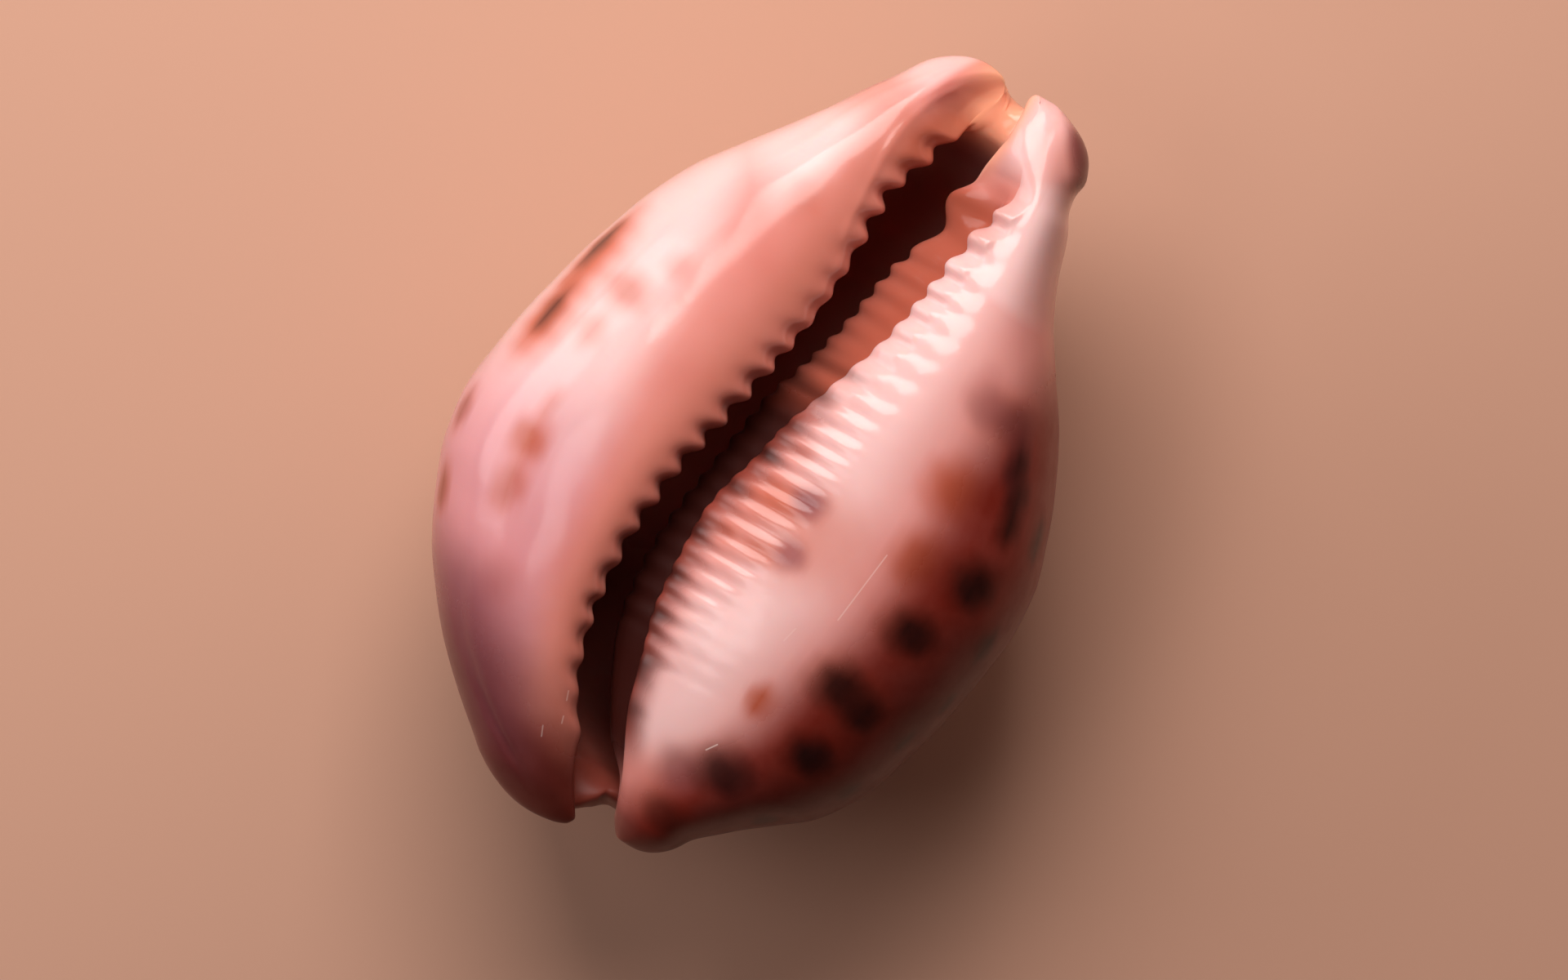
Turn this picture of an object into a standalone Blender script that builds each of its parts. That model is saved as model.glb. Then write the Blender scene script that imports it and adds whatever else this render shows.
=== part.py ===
"""Cowrie shell, lying on its back with the opening up.

One thick shell wall folded into a C around the long axis.  The left lip carries rounded teeth,
the right lip carries fine ridges with a sunken shelf inside them, and a canal runs out at each end.
Axes: +Z up, +Y to the narrow front end, +X to the ridged lip.  Lengths below are in millimetres.
"""
import bpy
import numpy as np

for old in list(bpy.data.objects):
    bpy.data.objects.remove(old, do_unlink=True)

MM = 0.001
SHELL_LENGTH = 86.4         # tip to tip, front to back
DRAWN_LENGTH = 86.4         # the length that the lists below are drawn at
STATION_STEP = 0.62         # spacing of the cross-sections
END_STEPS = 5               # rings that round off each end
REST_FLAT_DEPTH = 0.6       # how much of the back is flattened where it rests
REST_SNAP = 0.24            # points closer to the rest plane than this lie on it
MAX_TRIANGLES = 9600
SCALE = SHELL_LENGTH / DRAWN_LENGTH

# Every list below gives a value at a few stations along Y, as (station, value).
# Left margin, the widest line of the left side.
LEFT_X = [(-43.3, -8.5), (-40, -11.3), (-37.6, -14), (-35.2, -16.6), (-32.2, -19.6), (-29, -22.2),
          (-25, -25), (-20, -27.4), (-15, -29.1), (-10, -29.6), (-5, -29), (0, -28.1), (7, -26.4),
          (14, -24), (20, -21), (26, -16.4), (31, -12.6), (35, -9.9), (38, -7.8), (40.5, -6.2),
          (43.1, -4.8)]
LEFT_Z = [(-43, 33.5), (-39, 31.5), (-33, 29.5), (-20, 28), (0, 27.5), (15, 28), (25, 29.5),
          (33, 31.5), (38, 33.5), (43, 35.5)]
# Right margin, with the hollow neck and the small knob near the front.
RIGHT_X = [(-41.4, 10.6), (-38.4, 11.8), (-35.4, 15), (-33, 18), (-30, 21.8), (-25, 25.2), (-20, 26.9),
           (-15, 28.3), (-10, 29.1), (-5, 29.7), (0, 29.4), (5, 28.1), (10, 26.3), (15, 23.8),
           (20, 20.5), (24, 17.9), (28.2, 16.1), (32.4, 14.8), (34.6, 13.8), (36, 13.6), (37.4, 13.8),
           (39, 13.3), (41, 11.8), (42.8, 9.5)]
RIGHT_Z = [(-41.4, 33), (-37, 31.3), (-30, 29.5), (-20, 28.2), (0, 27.8), (15, 28.5), (24, 30),
           (32, 32.4), (37, 34.4), (42.8, 36.2)]
# Lowest line of the back.
BACK_X = [(-43, 1.5), (-36, 0.2), (-25, -0.9), (-3, -1.3), (20, -0.4), (35, 1.8), (43, 3)]
BACK_Z = [(-43.3, 30), (-41, 25.5), (-39, 21.5), (-36, 16.8), (-32, 11.8), (-27, 7.3), (-20, 3.2),
          (-12, 0.9), (-3.5, 0), (4, 0.3), (12, 1.8), (20, 5.3), (27, 10.3), (32, 15.2), (36, 20.4),
          (39, 25.4), (41, 28.8), (43, 31)]
# Highest line of the left lip.
LEFT_CREST_X = [(-43.3, -3), (-38, -5.4), (-30, -8.8), (-20, -11.3), (-10, -11.8), (0, -11),
                (10, -9.8), (20, -8.6), (28, -7.2), (34, -5.6), (37, -4.5), (39, -3.6), (41, -2.6),
                (43.1, -1.3)]
LEFT_CREST_Z = [(-43.3, 35.5), (-40, 37.8), (-35, 39.9), (-28, 41.7), (-15, 43.3), (0, 43.8),
                (15, 43.4), (28, 42.3), (34, 41.1), (37, 40.2), (39, 39.3), (41, 38.2),
                (43.1, 36.9)]
# Highest line of the right lip.
RIGHT_CREST_X = [(-41.4, 7.4), (-36, 8.5), (-30, 9.5), (-20, 10), (-10, 11), (0, 11.5), (10, 12),
                 (20, 11.5), (28, 11), (34, 10.5), (38, 9.8), (42.8, 9)]
RIGHT_CREST_Z = [(-41.4, 36.5), (-38, 38.8), (-33, 40.9), (-25, 42.8), (-12, 44.2), (0, 44.5),
                 (12, 44.3), (22, 43.5), (30, 42.6), (36, 41.6), (40, 40.6), (42.8, 39.5)]
# Edge of the left lip, measured over the tips of its teeth.
TIP_X = [(-43, 1.6), (-41.7, 1.1), (-40.5, 0.4), (-38.2, -1), (-35.7, -2.1), (-34.2, -2.5),
         (-30.7, -4.7), (-27.5, -6), (-24, -6.9), (-20, -7.4), (-15, -7.6), (-10.5, -7.2), (-7, -6.8),
         (-3.7, -6), (2.8, -4.5), (9.1, -3.3), (15.4, -2.5), (22, -2.2), (25.3, -2.15), (28.5, -1.75),
         (31.6, -0.5), (35.2, 0.6), (37.2, 0.8),
         (39, 1.3), (41, 2.2), (43, 2.9)]
TIP_Z = [(-43, 34.2), (-40, 35.2), (-36, 37), (-30, 38.6), (-20, 39.8), (0, 40.2), (20, 39.8),
         (30, 38.8), (34, 37.5), (36, 36.2), (37.5, 35.5), (39, 35.5), (43, 35.9)]
TOOTH_Y = [-34.2, -30.7, -27.5, -24, -21, -17.4, -13.8, -10.5, -7, -3.7, -0.6, 2.8, 6.2, 9.1, 12.1,
           15.4, 18.3, 22, 25.3, 28.5, 31.6, 35.2]
TOOTH_SIZE = [(-36.5, 0), (-33, 0.35), (-29, 0.45), (-25.5, 0.5), (-22.5, 0.7), (-19, 0.7),
              (-12, 0.9), (-5.3, 1), (1.2, 1.05), (7.6, 0.8), (10.5, 0.6), (13.7, 0.4), (17, 0.5),
              (20, 0.65), (23.9, 1.1), (27.2, 1.2), (30, 0.9), (33, 1.15), (36.5, 0)]
# Edge of the right lip where its ridges turn down into the opening.
EDGE_X = [(-41.3, 5), (-38.7, 4.1), (-35.7, 3), (-33.5, 2), (-31, 0.8), (-29, 0), (-26.2, -0.7),
          (-23, -1.6), (-19.5, -2.5), (-14, -2.9), (-10, -3), (-6.8, -2.6), (-2, -1.2), (2, -0.3),
          (6, 1.2), (10, 2.6), (14, 4), (18, 4.9), (22, 5.6), (26, 6.3), (30, 7.3), (32.5, 8.4),
          (35, 8.9), (42.8, 7)]
EDGE_Z = [(-41.3, 35.2), (-38, 36.9), (-30, 39.1), (-20, 40), (0, 40.4), (20, 40.6), (30, 40.7),
          (35, 40.8), (42.8, 39)]
RIDGE_Y = [-25, -23, -21, -19, -17, -15, -12.8, -10.9, -8.8, -6.7, -4.5, -2.4, -0.4, 1.4, 3.3, 5.6, 8,
           10.6, 13.5, 16.1, 18.8, 21.2, 24, 27.6, 31]
RIDGE_END_X = [(-26, 0.5), (-22, 2), (-16, 4.2), (-8, 7), (0, 7.6), (6, 8), (11, 6.4), (16, 7.2),
               (22, 8), (27, 8.8), (31, 9.8), (34, 10)]
RIDGE_SIZE = [(-28, 0), (-24, 0.15), (-16, 0.22), (6, 0.26), (12, 0.38), (17, 0.55), (24, 0.95), (28, 1.2),
              (31, 1.15), (34, 0)]
MERGE = [(30.8, 0), (33.6, 1), (43, 1)]     # how far ridges and groove give way to a plain slope
KNOB = [(34, 0), (38.5, 1), (43, 1)]        # how far that slope swells into the rounded front knob
TROUGH = [(35, 0), (38.5, 1), (43, 1)]      # how far the left slope eases into the canal floor
SLOPE_ROUNDNESS = [(-43, 2), (-30, 2.1), (25, 2.1), (33, 1.8), (38.5, 1.5), (43, 1.5)]
# Groove between the ridges and the shelf inside them.
GROOVE_X = [(-41, 4.7), (-37, 4), (-33, 3.2), (-28, 1.8), (-20, -0.3), (-10, -0.8), (0, 0.9),
            (8, 3), (16, 5.2), (22, 6.3), (26, 6.9), (30, 7.7), (33, 8.1), (36, 7.2), (42.8, 5.5)]
GROOVE_Z = [(-41, 34.6), (-37, 35.6), (-30, 36.3), (-15, 36.8), (0, 37), (15, 37.2), (24, 37.2),
            (28, 37.6), (30.5, 38.4), (32.5, 39.5), (34.5, 39.9), (38, 39.8), (42.8, 38.4)]
# Free edge of the shelf.
SHELF_X = [(-41, 4.8), (-38, 3.8), (-36, 2.9), (-33, 0.2), (-30, -1.6), (-27, -3.1), (-24, -4.4),
           (-20, -5.3), (-15, -5.7), (-10, -5.4), (-5, -4.6), (0, -3.8), (4, -3.1), (8, -1.7),
           (11, -0.8), (14.5, 0.1), (18, 0.7), (21, 1.3), (24, 2.45), (27, 3.3), (30, 3.1), (32.3, 4.1),
           (34, 4.2), (36, 4.5), (38, 4.8), (40, 4.8), (42.8, 4.4)]
SHELF_Z = [(-41, 33.9), (-37, 34.2), (-33, 33), (-25, 32.6), (0, 33), (15, 33.2), (24, 33.6),
           (29, 34.4), (31, 35.6), (33, 37), (35, 38), (37, 38.7), (39, 38.8), (42.8, 37.4)]
LOBE_Y = [-23, -20.6, -18.2, -15.8, -13.4, -11, -8.6, -6.2, -3.8, -1.4, 1, 3.4, 5.7, 7.9, 9.8, 11.8,
          14.1, 16.5, 18.8, 21.2, 23.6, 29.5]
SHELF_DIP = [(-43, 0.1), (-36, 0.4), (-30, 1.4), (0, 1.6), (30, 1.5), (34, 0.5), (37, 0.1)]
LOBE_SIZE = [(-25, 0), (-20, 0.4), (10, 0.5), (20, 0.6), (24, 0.7), (29.5, 1.2), (32.5, 0)]
# Inside of the wall: root of the shelf, ceiling, right side, floor, left side and lip underside.
ROOT_X = [(-41, 4.7), (-37, 3.8), (-33, 2.4), (-27, 0.6), (-20, -0.8), (-10, -0.9), (0, 0.7), (8, 2.8),
          (16, 4.8), (24, 6.2), (29, 7), (32, 6.6), (35, 5.1), (38, 5), (42.8, 5)]
ROOT_Z = [(-41, 33.6), (-37, 33), (-33, 31.5), (-25, 31), (0, 31.3), (15, 31.8), (24, 32.5),
          (30, 32.8), (33, 34), (36, 36.2), (38, 37.3), (42.8, 36.6)]
CEILING_X = [(-41, 5), (-37, 4.4), (-34, 5), (-30, 6.5), (-22, 9.5), (-10, 11.5), (0, 12.5), (12, 12),
             (22, 11), (28, 9.5), (32, 7.5), (35, 5.8), (38, 5.2), (42.8, 5.2)]
CEILING_Z = [(-41, 33.4), (-37, 33.3), (-34, 34), (-30, 35.6), (-22, 37.2), (-10, 38.4), (0, 38.8),
             (12, 38.5), (22, 37.5), (28, 36.8), (32, 36.4), (35, 36.4), (38, 36.7), (42.8, 36.2)]
INNER_RIGHT_X = [(-41, 5), (-38.5, 4.6), (-36, 5.2), (-33, 8.5), (-28, 14.8), (-20, 22), (-10, 25.8),
                 (0, 26.6), (10, 23.4), (18, 18), (24, 13.6), (29, 9.8), (33, 6.9), (36, 5.5),
                 (39, 5.2), (42.8, 5.2)]
INNER_RIGHT_Z = [(-41, 33.1), (-38, 32.8), (-34, 30), (-28, 27.5), (-15, 26.5), (0, 26.5), (15, 27),
                 (25, 29), (31, 31), (35, 34), (38, 36), (42.8, 35.9)]
FLOOR_X = [(-41, 2.6), (-38, 1.8), (-34, 0.6), (-25, 0), (0, 0), (25, 1), (34, 2.4), (38, 3),
           (43, 3.6)]
FLOOR_Z = [(-41, 33), (-38.5, 32.4), (-36.5, 30.6), (-34.5, 25.5), (-32, 18.5), (-28, 11), (-22, 6),
           (-12, 2.9), (-3, 2.3), (8, 3.4), (18, 7.4), (26, 12.9), (31, 18.6), (33.5, 23.4),
           (35, 28.8), (36, 32.3), (37, 34.3), (38.5, 35.1), (40.5, 35.4), (43, 35.6)]
INNER_LEFT_X = [(-42, 1.1), (-40, 0), (-38, -1.3), (-36, -2.6), (-33, -6.2), (-28, -12), (-20, -19),
                (-12, -23), (-5, -24), (0, -23.6), (8, -21.6), (16, -18), (24, -12), (29, -7.2),
                (33, -3), (35.5, -0.7), (37.2, 1.2), (39, 2), (41, 2.7), (43, 3.2)]
INNER_LEFT_Z = [(-42, 33.2), (-38, 32.6), (-34, 30), (-28, 27.5), (-15, 26.5), (0, 26.5), (15, 27),
                (25, 28.5), (31, 30.5), (35, 33.3), (38, 35.1), (43, 35.65)]
UNDER_LIP_X = [(-42, 0.9), (-38, -1.6), (-35, -4), (-30, -9), (-20, -12.5), (-10, -12.3), (0, -10),
               (10, -8), (20, -7), (28, -6.2), (33, -3.8), (36, -1.2), (37.5, 1), (39, 1.6), (41, 2.4),
               (43, 3)]
UNDER_LIP_Z = [(-42, 33.4), (-38, 33.4), (-35, 34.2), (-30, 35.4), (-20, 36), (0, 36.2), (20, 35.8),
               (28, 34.8), (33, 33.8), (36, 34), (38, 35.2), (43, 35.75)]

# Half a ring runs from the left lip's tip (0) over its crest (1), the left margin (2), the back (3),
# the right margin (4), the right crest (5) and the ridged edge (6) to the groove (7).
COLUMNS = [8, 6, 7, 7, 7, 7, 3]
FRONT_END = [(0, 41.75), (0.5, 42.25), (1, 42.75), (1.5, 43), (2, 43.05), (2.6, 42.3), (2.85, 41.8),
             (3, 41.4), (3.2, 41.1), (3.4, 41.6), (3.7, 42.2), (4, 42.6), (5, 42.8), (6, 42.75),
             (7, 42.3)]
REAR_END = [(0, 41.5), (0.3, 42), (0.6, 42.6), (1, 43.05), (1.5, 43.25), (2, 43.2), (2.6, 41.8),
            (3, 40.1), (3.2, 39), (3.5, 39.1), (3.8, 40.2), (4, 40.9), (4.5, 41.35), (5, 41.3),
            (5.5, 40.7), (6, 39.7), (6.5, 39.2), (7, 38.8)]
END_RADIUS = [(0, 2.2), (1, 3.4), (2, 3.6), (3, 1.8), (3.2, 1.6), (3.6, 2.6), (5, 2.4),
              (6, 1.5), (7, 1.4)]


def smooth(points, y):
    """Value at y of a smooth line through the points, without overshoot."""
    xs = np.array([p[0] for p in points], dtype=float)
    vs = np.array([p[1] for p in points], dtype=float)
    width = np.diff(xs)
    rise = np.diff(vs) / width
    slope = np.zeros(len(xs))
    slope[0] = rise[0]
    slope[-1] = rise[-1]
    same = rise[:-1] * rise[1:] > 0
    both = np.where(same, rise[:-1] + rise[1:], 1.0)
    slope[1:-1] = np.where(same, 2 * rise[:-1] * rise[1:] / both, 0.0)
    y = np.clip(y, xs[0], xs[-1])
    k = np.clip(np.searchsorted(xs, y) - 1, 0, len(width) - 1)
    t = (y - xs[k]) / width[k]
    a = (1 + 2 * t) * (1 - t) ** 2 * vs[k]
    b = t * (1 - t) ** 2 * width[k] * slope[k]
    c = t * t * (3 - 2 * t) * vs[k + 1]
    d = t * t * (t - 1) * width[k] * slope[k + 1]
    return a + b + c + d


def wave(places, y):
    """1 on each listed place, -1 halfway between two of them."""
    return np.cos(2 * np.pi * np.interp(y, places, np.arange(len(places))))


def quarter(start, end, level, n):
    """Rounded quarter arc; level 0 keeps the start level with its pole, 1 the end."""
    def place(t):
        angle = t * np.pi / 2
        r = (np.cos(angle) ** n + np.sin(angle) ** n) ** (-1.0 / n)
        along, across = np.sin(angle) * r, np.cos(angle) * r
        if level == 0:
            return start[0] + (end[0] - start[0]) * along, end[1] + (start[1] - end[1]) * across
        return end[0] + (start[0] - end[0]) * across, start[1] + (end[1] - start[1]) * along
    return place


def bend(start, end, dip):
    """S-shaped run that leaves and arrives upright, hanging down by dip halfway."""
    def place(t):
        ease = (1 - np.cos(np.pi * t)) / 2
        hang = dip * np.sin(np.pi * t)
        return start[0] + (end[0] - start[0]) * ease, start[1] + (end[1] - start[1]) * t - hang
    return place


def ring_columns():
    """Per column of half a ring: the segment it is in, and how far along that segment."""
    rows = [(i, k / count) for i, count in enumerate(COLUMNS) for k in range(count)]
    return np.array(rows + [(len(COLUMNS), 0.0)]).T


def section(y, seg, t, inside):
    """Position in X and Z for arrays of stations, on the outer or the inner half of the ring."""
    def at(xs, zs):
        return smooth(xs, y), smooth(zs, y)
    teeth = smooth(TOOTH_SIZE, y) * (1 - wave(TOOTH_Y, y)) / 2
    tip = at(TIP_X, TIP_Z)
    left, right = at(LEFT_X, LEFT_Z), at(RIGHT_X, RIGHT_Z)
    back, floor = at(BACK_X, BACK_Z), at(FLOOR_X, FLOOR_Z)
    left_crest, right_crest = at(LEFT_CREST_X, LEFT_CREST_Z), at(RIGHT_CREST_X, RIGHT_CREST_Z)
    ridge = smooth(RIDGE_SIZE, y) * (0.5 - ((1 - wave(RIDGE_Y, y)) / 2) ** 1.3)
    edge = at(EDGE_X, EDGE_Z)
    edge = (edge[0] - 0.8 * ridge, edge[1] + 0.5 * ridge)
    groove = at(GROOVE_X, GROOVE_Z)
    groove = (groove[0] - 0.4 * ridge, groove[1])
    shelf = at(SHELF_X, SHELF_Z)
    shelf = (shelf[0] - smooth(LOBE_SIZE, y) * wave(LOBE_Y, y) / 2, shelf[1])
    root, ceiling = at(ROOT_X, ROOT_Z), at(CEILING_X, CEILING_Z)
    inner_right, inner_left = at(INNER_RIGHT_X, INNER_RIGHT_Z), at(INNER_LEFT_X, INNER_LEFT_Z)
    under = at(UNDER_LIP_X, UNDER_LIP_Z)
    flat_slope = smooth(SLOPE_ROUNDNESS, y)
    split = 0.45
    if inside:
        runs = [quarter(tip, under, 1, 2.0), quarter(under, inner_left, 0, 2.2),
                quarter(inner_left, floor, 1, 2.1), quarter(floor, inner_right, 0, 2.1),
                None, bend(root, shelf, smooth(SHELF_DIP, y)), bend(shelf, groove, 0.0)]
        upper = quarter(inner_right, ceiling, 1, 2.1)
        lower = quarter(ceiling, root, 0, 2.0)
    else:
        runs = [quarter(tip, left_crest, 1, flat_slope), quarter(left_crest, left, 0, 2.3),
                quarter(left, back, 1, 2.15), quarter(back, right, 0, 2.15),
                quarter(right, right_crest, 1, 2.3), quarter(right_crest, edge, 0, 1.65),
                bend(edge, groove, 0.0)]
    x, z = groove[0].copy(), groove[1].copy()
    for i, run in enumerate(runs):
        here = seg == i
        if run is None:
            px, pz = upper(np.clip(t / split, 0, 1))
            qx, qz = lower(np.clip((t - split) / (1 - split), 0, 1))
            px, pz = np.where(t < split, px, qx), np.where(t < split, pz, qz)
        else:
            px, pz = run(t)
        x, z = np.where(here, px, x), np.where(here, pz, z)
    reach = np.clip(t / 0.8, 0, 1)
    notch = teeth * (seg == 0) * (1 - reach * reach * (3 - 2 * reach))
    x, z = x - notch, z - 0.35 * notch
    ease = smooth(TROUGH, y)
    if inside:
        u = (seg + t) / 3
        ease = ease * (seg <= 2)
        x = x + (tip[0] + (floor[0] - tip[0]) * u - x) * ease
        z = z + (tip[1] + (floor[1] - tip[1]) * u * u * (3 - 2 * u) - z) * ease
    else:
        ease = ease * (seg == 0)
        x = x + (tip[0] + (left_crest[0] - tip[0]) * t - x) * ease
        z = z + (tip[1] + (left_crest[1] - tip[1]) * t * t * (3 - 2 * t) - z) * ease
        reach = smooth(RIDGE_END_X, y)
        near = np.clip(3 * (reach - x) / np.maximum(reach - edge[0], 0.1), 0, 1)
        z = z + np.where(seg == 5, 0.5 * ridge * near * near * (3 - 2 * near), 0)
    place = plain_place(seg, t, inside)
    merge = smooth(MERGE, y) * (place >= 0)
    place = np.clip(place, 0, 1)
    round_x, round_z = quarter(right_crest, shelf, 0, 2.3)(place)
    fall = 1 - place * place * (3 - 2 * place)
    hollow_x = right_crest[0] + (shelf[0] - right_crest[0]) * place
    hollow_z = shelf[1] + (right_crest[1] - shelf[1]) * fall
    full = smooth(KNOB, y)
    plain_x, plain_z = hollow_x + (round_x - hollow_x) * full, hollow_z + (round_z - hollow_z) * full
    return x + (plain_x - x) * merge, z + (plain_z - z) * merge


def plain_place(seg, t, inside):
    """Place between the right crest (0) and the shelf's edge (1), negative elsewhere."""
    if inside:
        return np.where(seg == 6, 0.48 + 0.52 * (1 - t), np.where(seg == 7, 0.48, -1.0))
    place = np.where(seg == 5, 0.38 * t, np.where(seg == 6, 0.38 + 0.1 * t, -1.0))
    return np.where(seg == 7, 0.48, place)


def rings():
    """Outer and inner halves of every ring, ends rounded so that both halves meet."""
    seg, t = ring_columns()
    front, rear, radius = (smooth(ends, seg + t) for ends in (FRONT_END, REAR_END, END_RADIUS))
    half = int(round(DRAWN_LENGTH / STATION_STEP / 2))
    steps = [(side, s / half, 0.0) for side, s in
             [(-1, k) for k in range(half, 0, -1)] + [(1, k) for k in range(half + 1)]]
    turn = [(k + 1) * np.pi / 2 / END_STEPS for k in range(END_STEPS)]
    steps = [(-1, 1.0, a) for a in reversed(turn)] + steps + [(1, 1.0, a) for a in turn]
    y = np.empty((len(steps), len(seg)))
    for i, (side, s, angle) in enumerate(steps):
        end = front if side > 0 else rear
        y[i] = side * (s * (end - radius) + radius * np.sin(angle))
    close = np.array([np.cos(step[2]) for step in steps])[:, None]
    seg, t = np.broadcast_to(seg, y.shape), np.broadcast_to(t, y.shape)
    ox, oz = section(y, seg, t, False)
    ix, iz = section(y, seg, t, True)
    mx, mz = (ox + ix) / 2, (oz + iz) / 2
    outer = np.stack([mx + (ox - mx) * close, y, mz + (oz - mz) * close], axis=-1)
    inner = np.stack([mx + (ix - mx) * close, y, mz + (iz - mz) * close], axis=-1)
    outer[..., 2] = np.maximum(outer[..., 2] - REST_FLAT_DEPTH, 0.0)
    inner[..., 2] -= REST_FLAT_DEPTH
    return outer * SCALE, inner * SCALE


def shell_mesh(name):
    """One closed skin through all rings."""
    outer, inner = rings()
    count, columns = outer.shape[:2]
    last = columns - 1
    points = []
    index = np.zeros((count, 2 * last), dtype=int)
    for i in range(count):
        ends = i in (0, count - 1)
        for j in range(columns):
            index[i, j] = len(points)
            points.append(outer[i, j] * MM)
        for j in range(last - 1, 0, -1):
            k = 2 * last - j
            if ends:
                index[i, k] = index[i, j]
                continue
            index[i, k] = len(points)
            points.append(inner[i, j] * MM)
    faces = []
    around = 2 * last
    for i in range(count - 1):
        for j in range(around):
            k = (j + 1) % around
            corners = [index[i, j], index[i + 1, j], index[i + 1, k], index[i, k]]
            loop = [int(c) for n, c in enumerate(corners) if c not in corners[:n]]
            if len(loop) > 2:
                faces.append(loop)
    mesh = bpy.data.meshes.new(name)
    mesh.from_pydata([tuple(p) for p in points], [], faces)
    mesh.validate()
    mesh.update()
    return mesh


def glaze():
    material = bpy.data.materials.new("cowrie_glaze")
    material.use_nodes = True
    shader = material.node_tree.nodes["Principled BSDF"]
    shader.inputs["Base Color"].default_value = (0.78, 0.55, 0.48, 1.0)
    shader.inputs["Roughness"].default_value = 0.2
    return material


def thinned(mesh, triangles):
    """Copy of the mesh with about that many triangles, and its resting place made flat again."""
    carrier = bpy.data.objects.new("cowrie_dense", mesh)
    bpy.context.scene.collection.objects.link(carrier)
    modifier = carrier.modifiers.new("fewer_faces", "DECIMATE")
    modifier.ratio = triangles / sum(len(f.vertices) - 2 for f in mesh.polygons)
    solved = carrier.evaluated_get(bpy.context.evaluated_depsgraph_get())
    result = bpy.data.meshes.new_from_object(solved)
    bpy.data.objects.remove(carrier, do_unlink=True)
    for vertex in result.vertices:
        if vertex.co.z < REST_SNAP * MM:
            vertex.co.z = 0.0
    return result


shell = bpy.data.objects.new("cowrie_shell", thinned(shell_mesh("cowrie_shell"), MAX_TRIANGLES))
bpy.context.scene.collection.objects.link(shell)
shell.data.materials.append(glaze())
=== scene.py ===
"""Dressed cowrie shell, lying on its back with the opening up.

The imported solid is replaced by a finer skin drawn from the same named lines, with lip flutes,
creases and growth unevenness added, and a glaze whose spots and tints sit where the photo has them.
Lengths in the lists are in millimetres.
"""
import math

import bpy
import numpy as np
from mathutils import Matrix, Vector


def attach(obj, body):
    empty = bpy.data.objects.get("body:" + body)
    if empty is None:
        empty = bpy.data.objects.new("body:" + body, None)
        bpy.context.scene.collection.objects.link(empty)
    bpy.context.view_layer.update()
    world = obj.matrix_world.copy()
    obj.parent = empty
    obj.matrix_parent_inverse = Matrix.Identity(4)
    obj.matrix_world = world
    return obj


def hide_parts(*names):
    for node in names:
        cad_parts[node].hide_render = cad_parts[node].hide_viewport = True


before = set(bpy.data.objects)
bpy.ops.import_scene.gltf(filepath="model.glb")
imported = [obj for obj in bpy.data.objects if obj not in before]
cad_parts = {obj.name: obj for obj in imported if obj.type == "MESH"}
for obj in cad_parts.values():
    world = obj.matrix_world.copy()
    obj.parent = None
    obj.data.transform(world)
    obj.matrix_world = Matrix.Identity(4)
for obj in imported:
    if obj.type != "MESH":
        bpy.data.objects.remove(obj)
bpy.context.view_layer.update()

MM = 0.001
SHELL_LENGTH = 86.4         # tip to tip, front to back
DRAWN_LENGTH = 86.4         # the length that the lists below are drawn at
STATION_STEP = 0.33         # spacing of the cross-sections
END_STEPS = 12              # rings that round off each end
REST_FLAT_DEPTH = 0.6       # how much of the back is flattened where it rests
SCALE = SHELL_LENGTH / DRAWN_LENGTH
PHOTO_TURN = math.radians(29.8)     # how far the photo's upright is turned from the shell's Y
PHOTO_CENTRE = (2.86, -3.36)        # place under the middle of the photo
PHOTO_WIDTH = 154.8         # frame width at the level of the margins
MARGIN_LEVEL = 29.0         # height of the widest line of the shell
LENS = 500.0                # a long lens, because the photo shows hardly any perspective
SENSOR = 36.0

# Every list below gives a value at a few stations along Y, as (station, value).
# Left margin, the widest line of the left side.
LEFT_X = [(-43.3, -8.5), (-40, -11.3), (-37.6, -14), (-35.2, -16.6), (-32.2, -19.6), (-29, -22.2),
          (-25, -25), (-20, -27.4), (-15, -29.1), (-10, -29.6), (-5, -29), (0, -28.1), (7, -26.4),
          (14, -24), (20, -21), (26, -16.4), (31, -12.6), (35, -9.9), (38, -7.8), (40.5, -6.2),
          (43.1, -4.8)]
LEFT_Z = [(-43, 33.5), (-39, 31.5), (-33, 29.5), (-20, 28), (0, 27.5), (15, 28), (25, 29.5),
          (33, 31.5), (38, 33.5), (43, 35.5)]
# Right margin, with the hollow neck and the small knob near the front.
RIGHT_X = [(-41.4, 10.6), (-38.4, 11.8), (-35.4, 15), (-33, 18), (-30, 21.8), (-25, 25.2), (-20, 26.9),
           (-15, 28.3), (-10, 29.1), (-5, 29.7), (0, 29.4), (5, 28.1), (10, 26.3), (15, 23.8),
           (20, 20.5), (24, 17.9), (28.2, 16.1), (32.4, 14.8), (34.6, 13.8), (36, 13.6), (37.4, 13.8),
           (39, 13.3), (41, 11.8), (42.8, 9.5)]
RIGHT_Z = [(-41.4, 33), (-37, 31.3), (-30, 29.5), (-20, 28.2), (0, 27.8), (15, 28.5), (24, 30),
           (32, 32.4), (37, 34.4), (42.8, 36.2)]
# Lowest line of the back.
BACK_X = [(-43, 1.5), (-36, 0.2), (-25, -0.9), (-3, -1.3), (20, -0.4), (35, 1.8), (43, 3)]
BACK_Z = [(-43.3, 30), (-41, 25.5), (-39, 21.5), (-36, 16.8), (-32, 11.8), (-27, 7.3), (-20, 3.2),
          (-12, 0.9), (-3.5, 0), (4, 0.3), (12, 1.8), (20, 5.3), (27, 10.3), (32, 15.2), (36, 20.4),
          (39, 25.4), (41, 28.8), (43, 31)]
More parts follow.
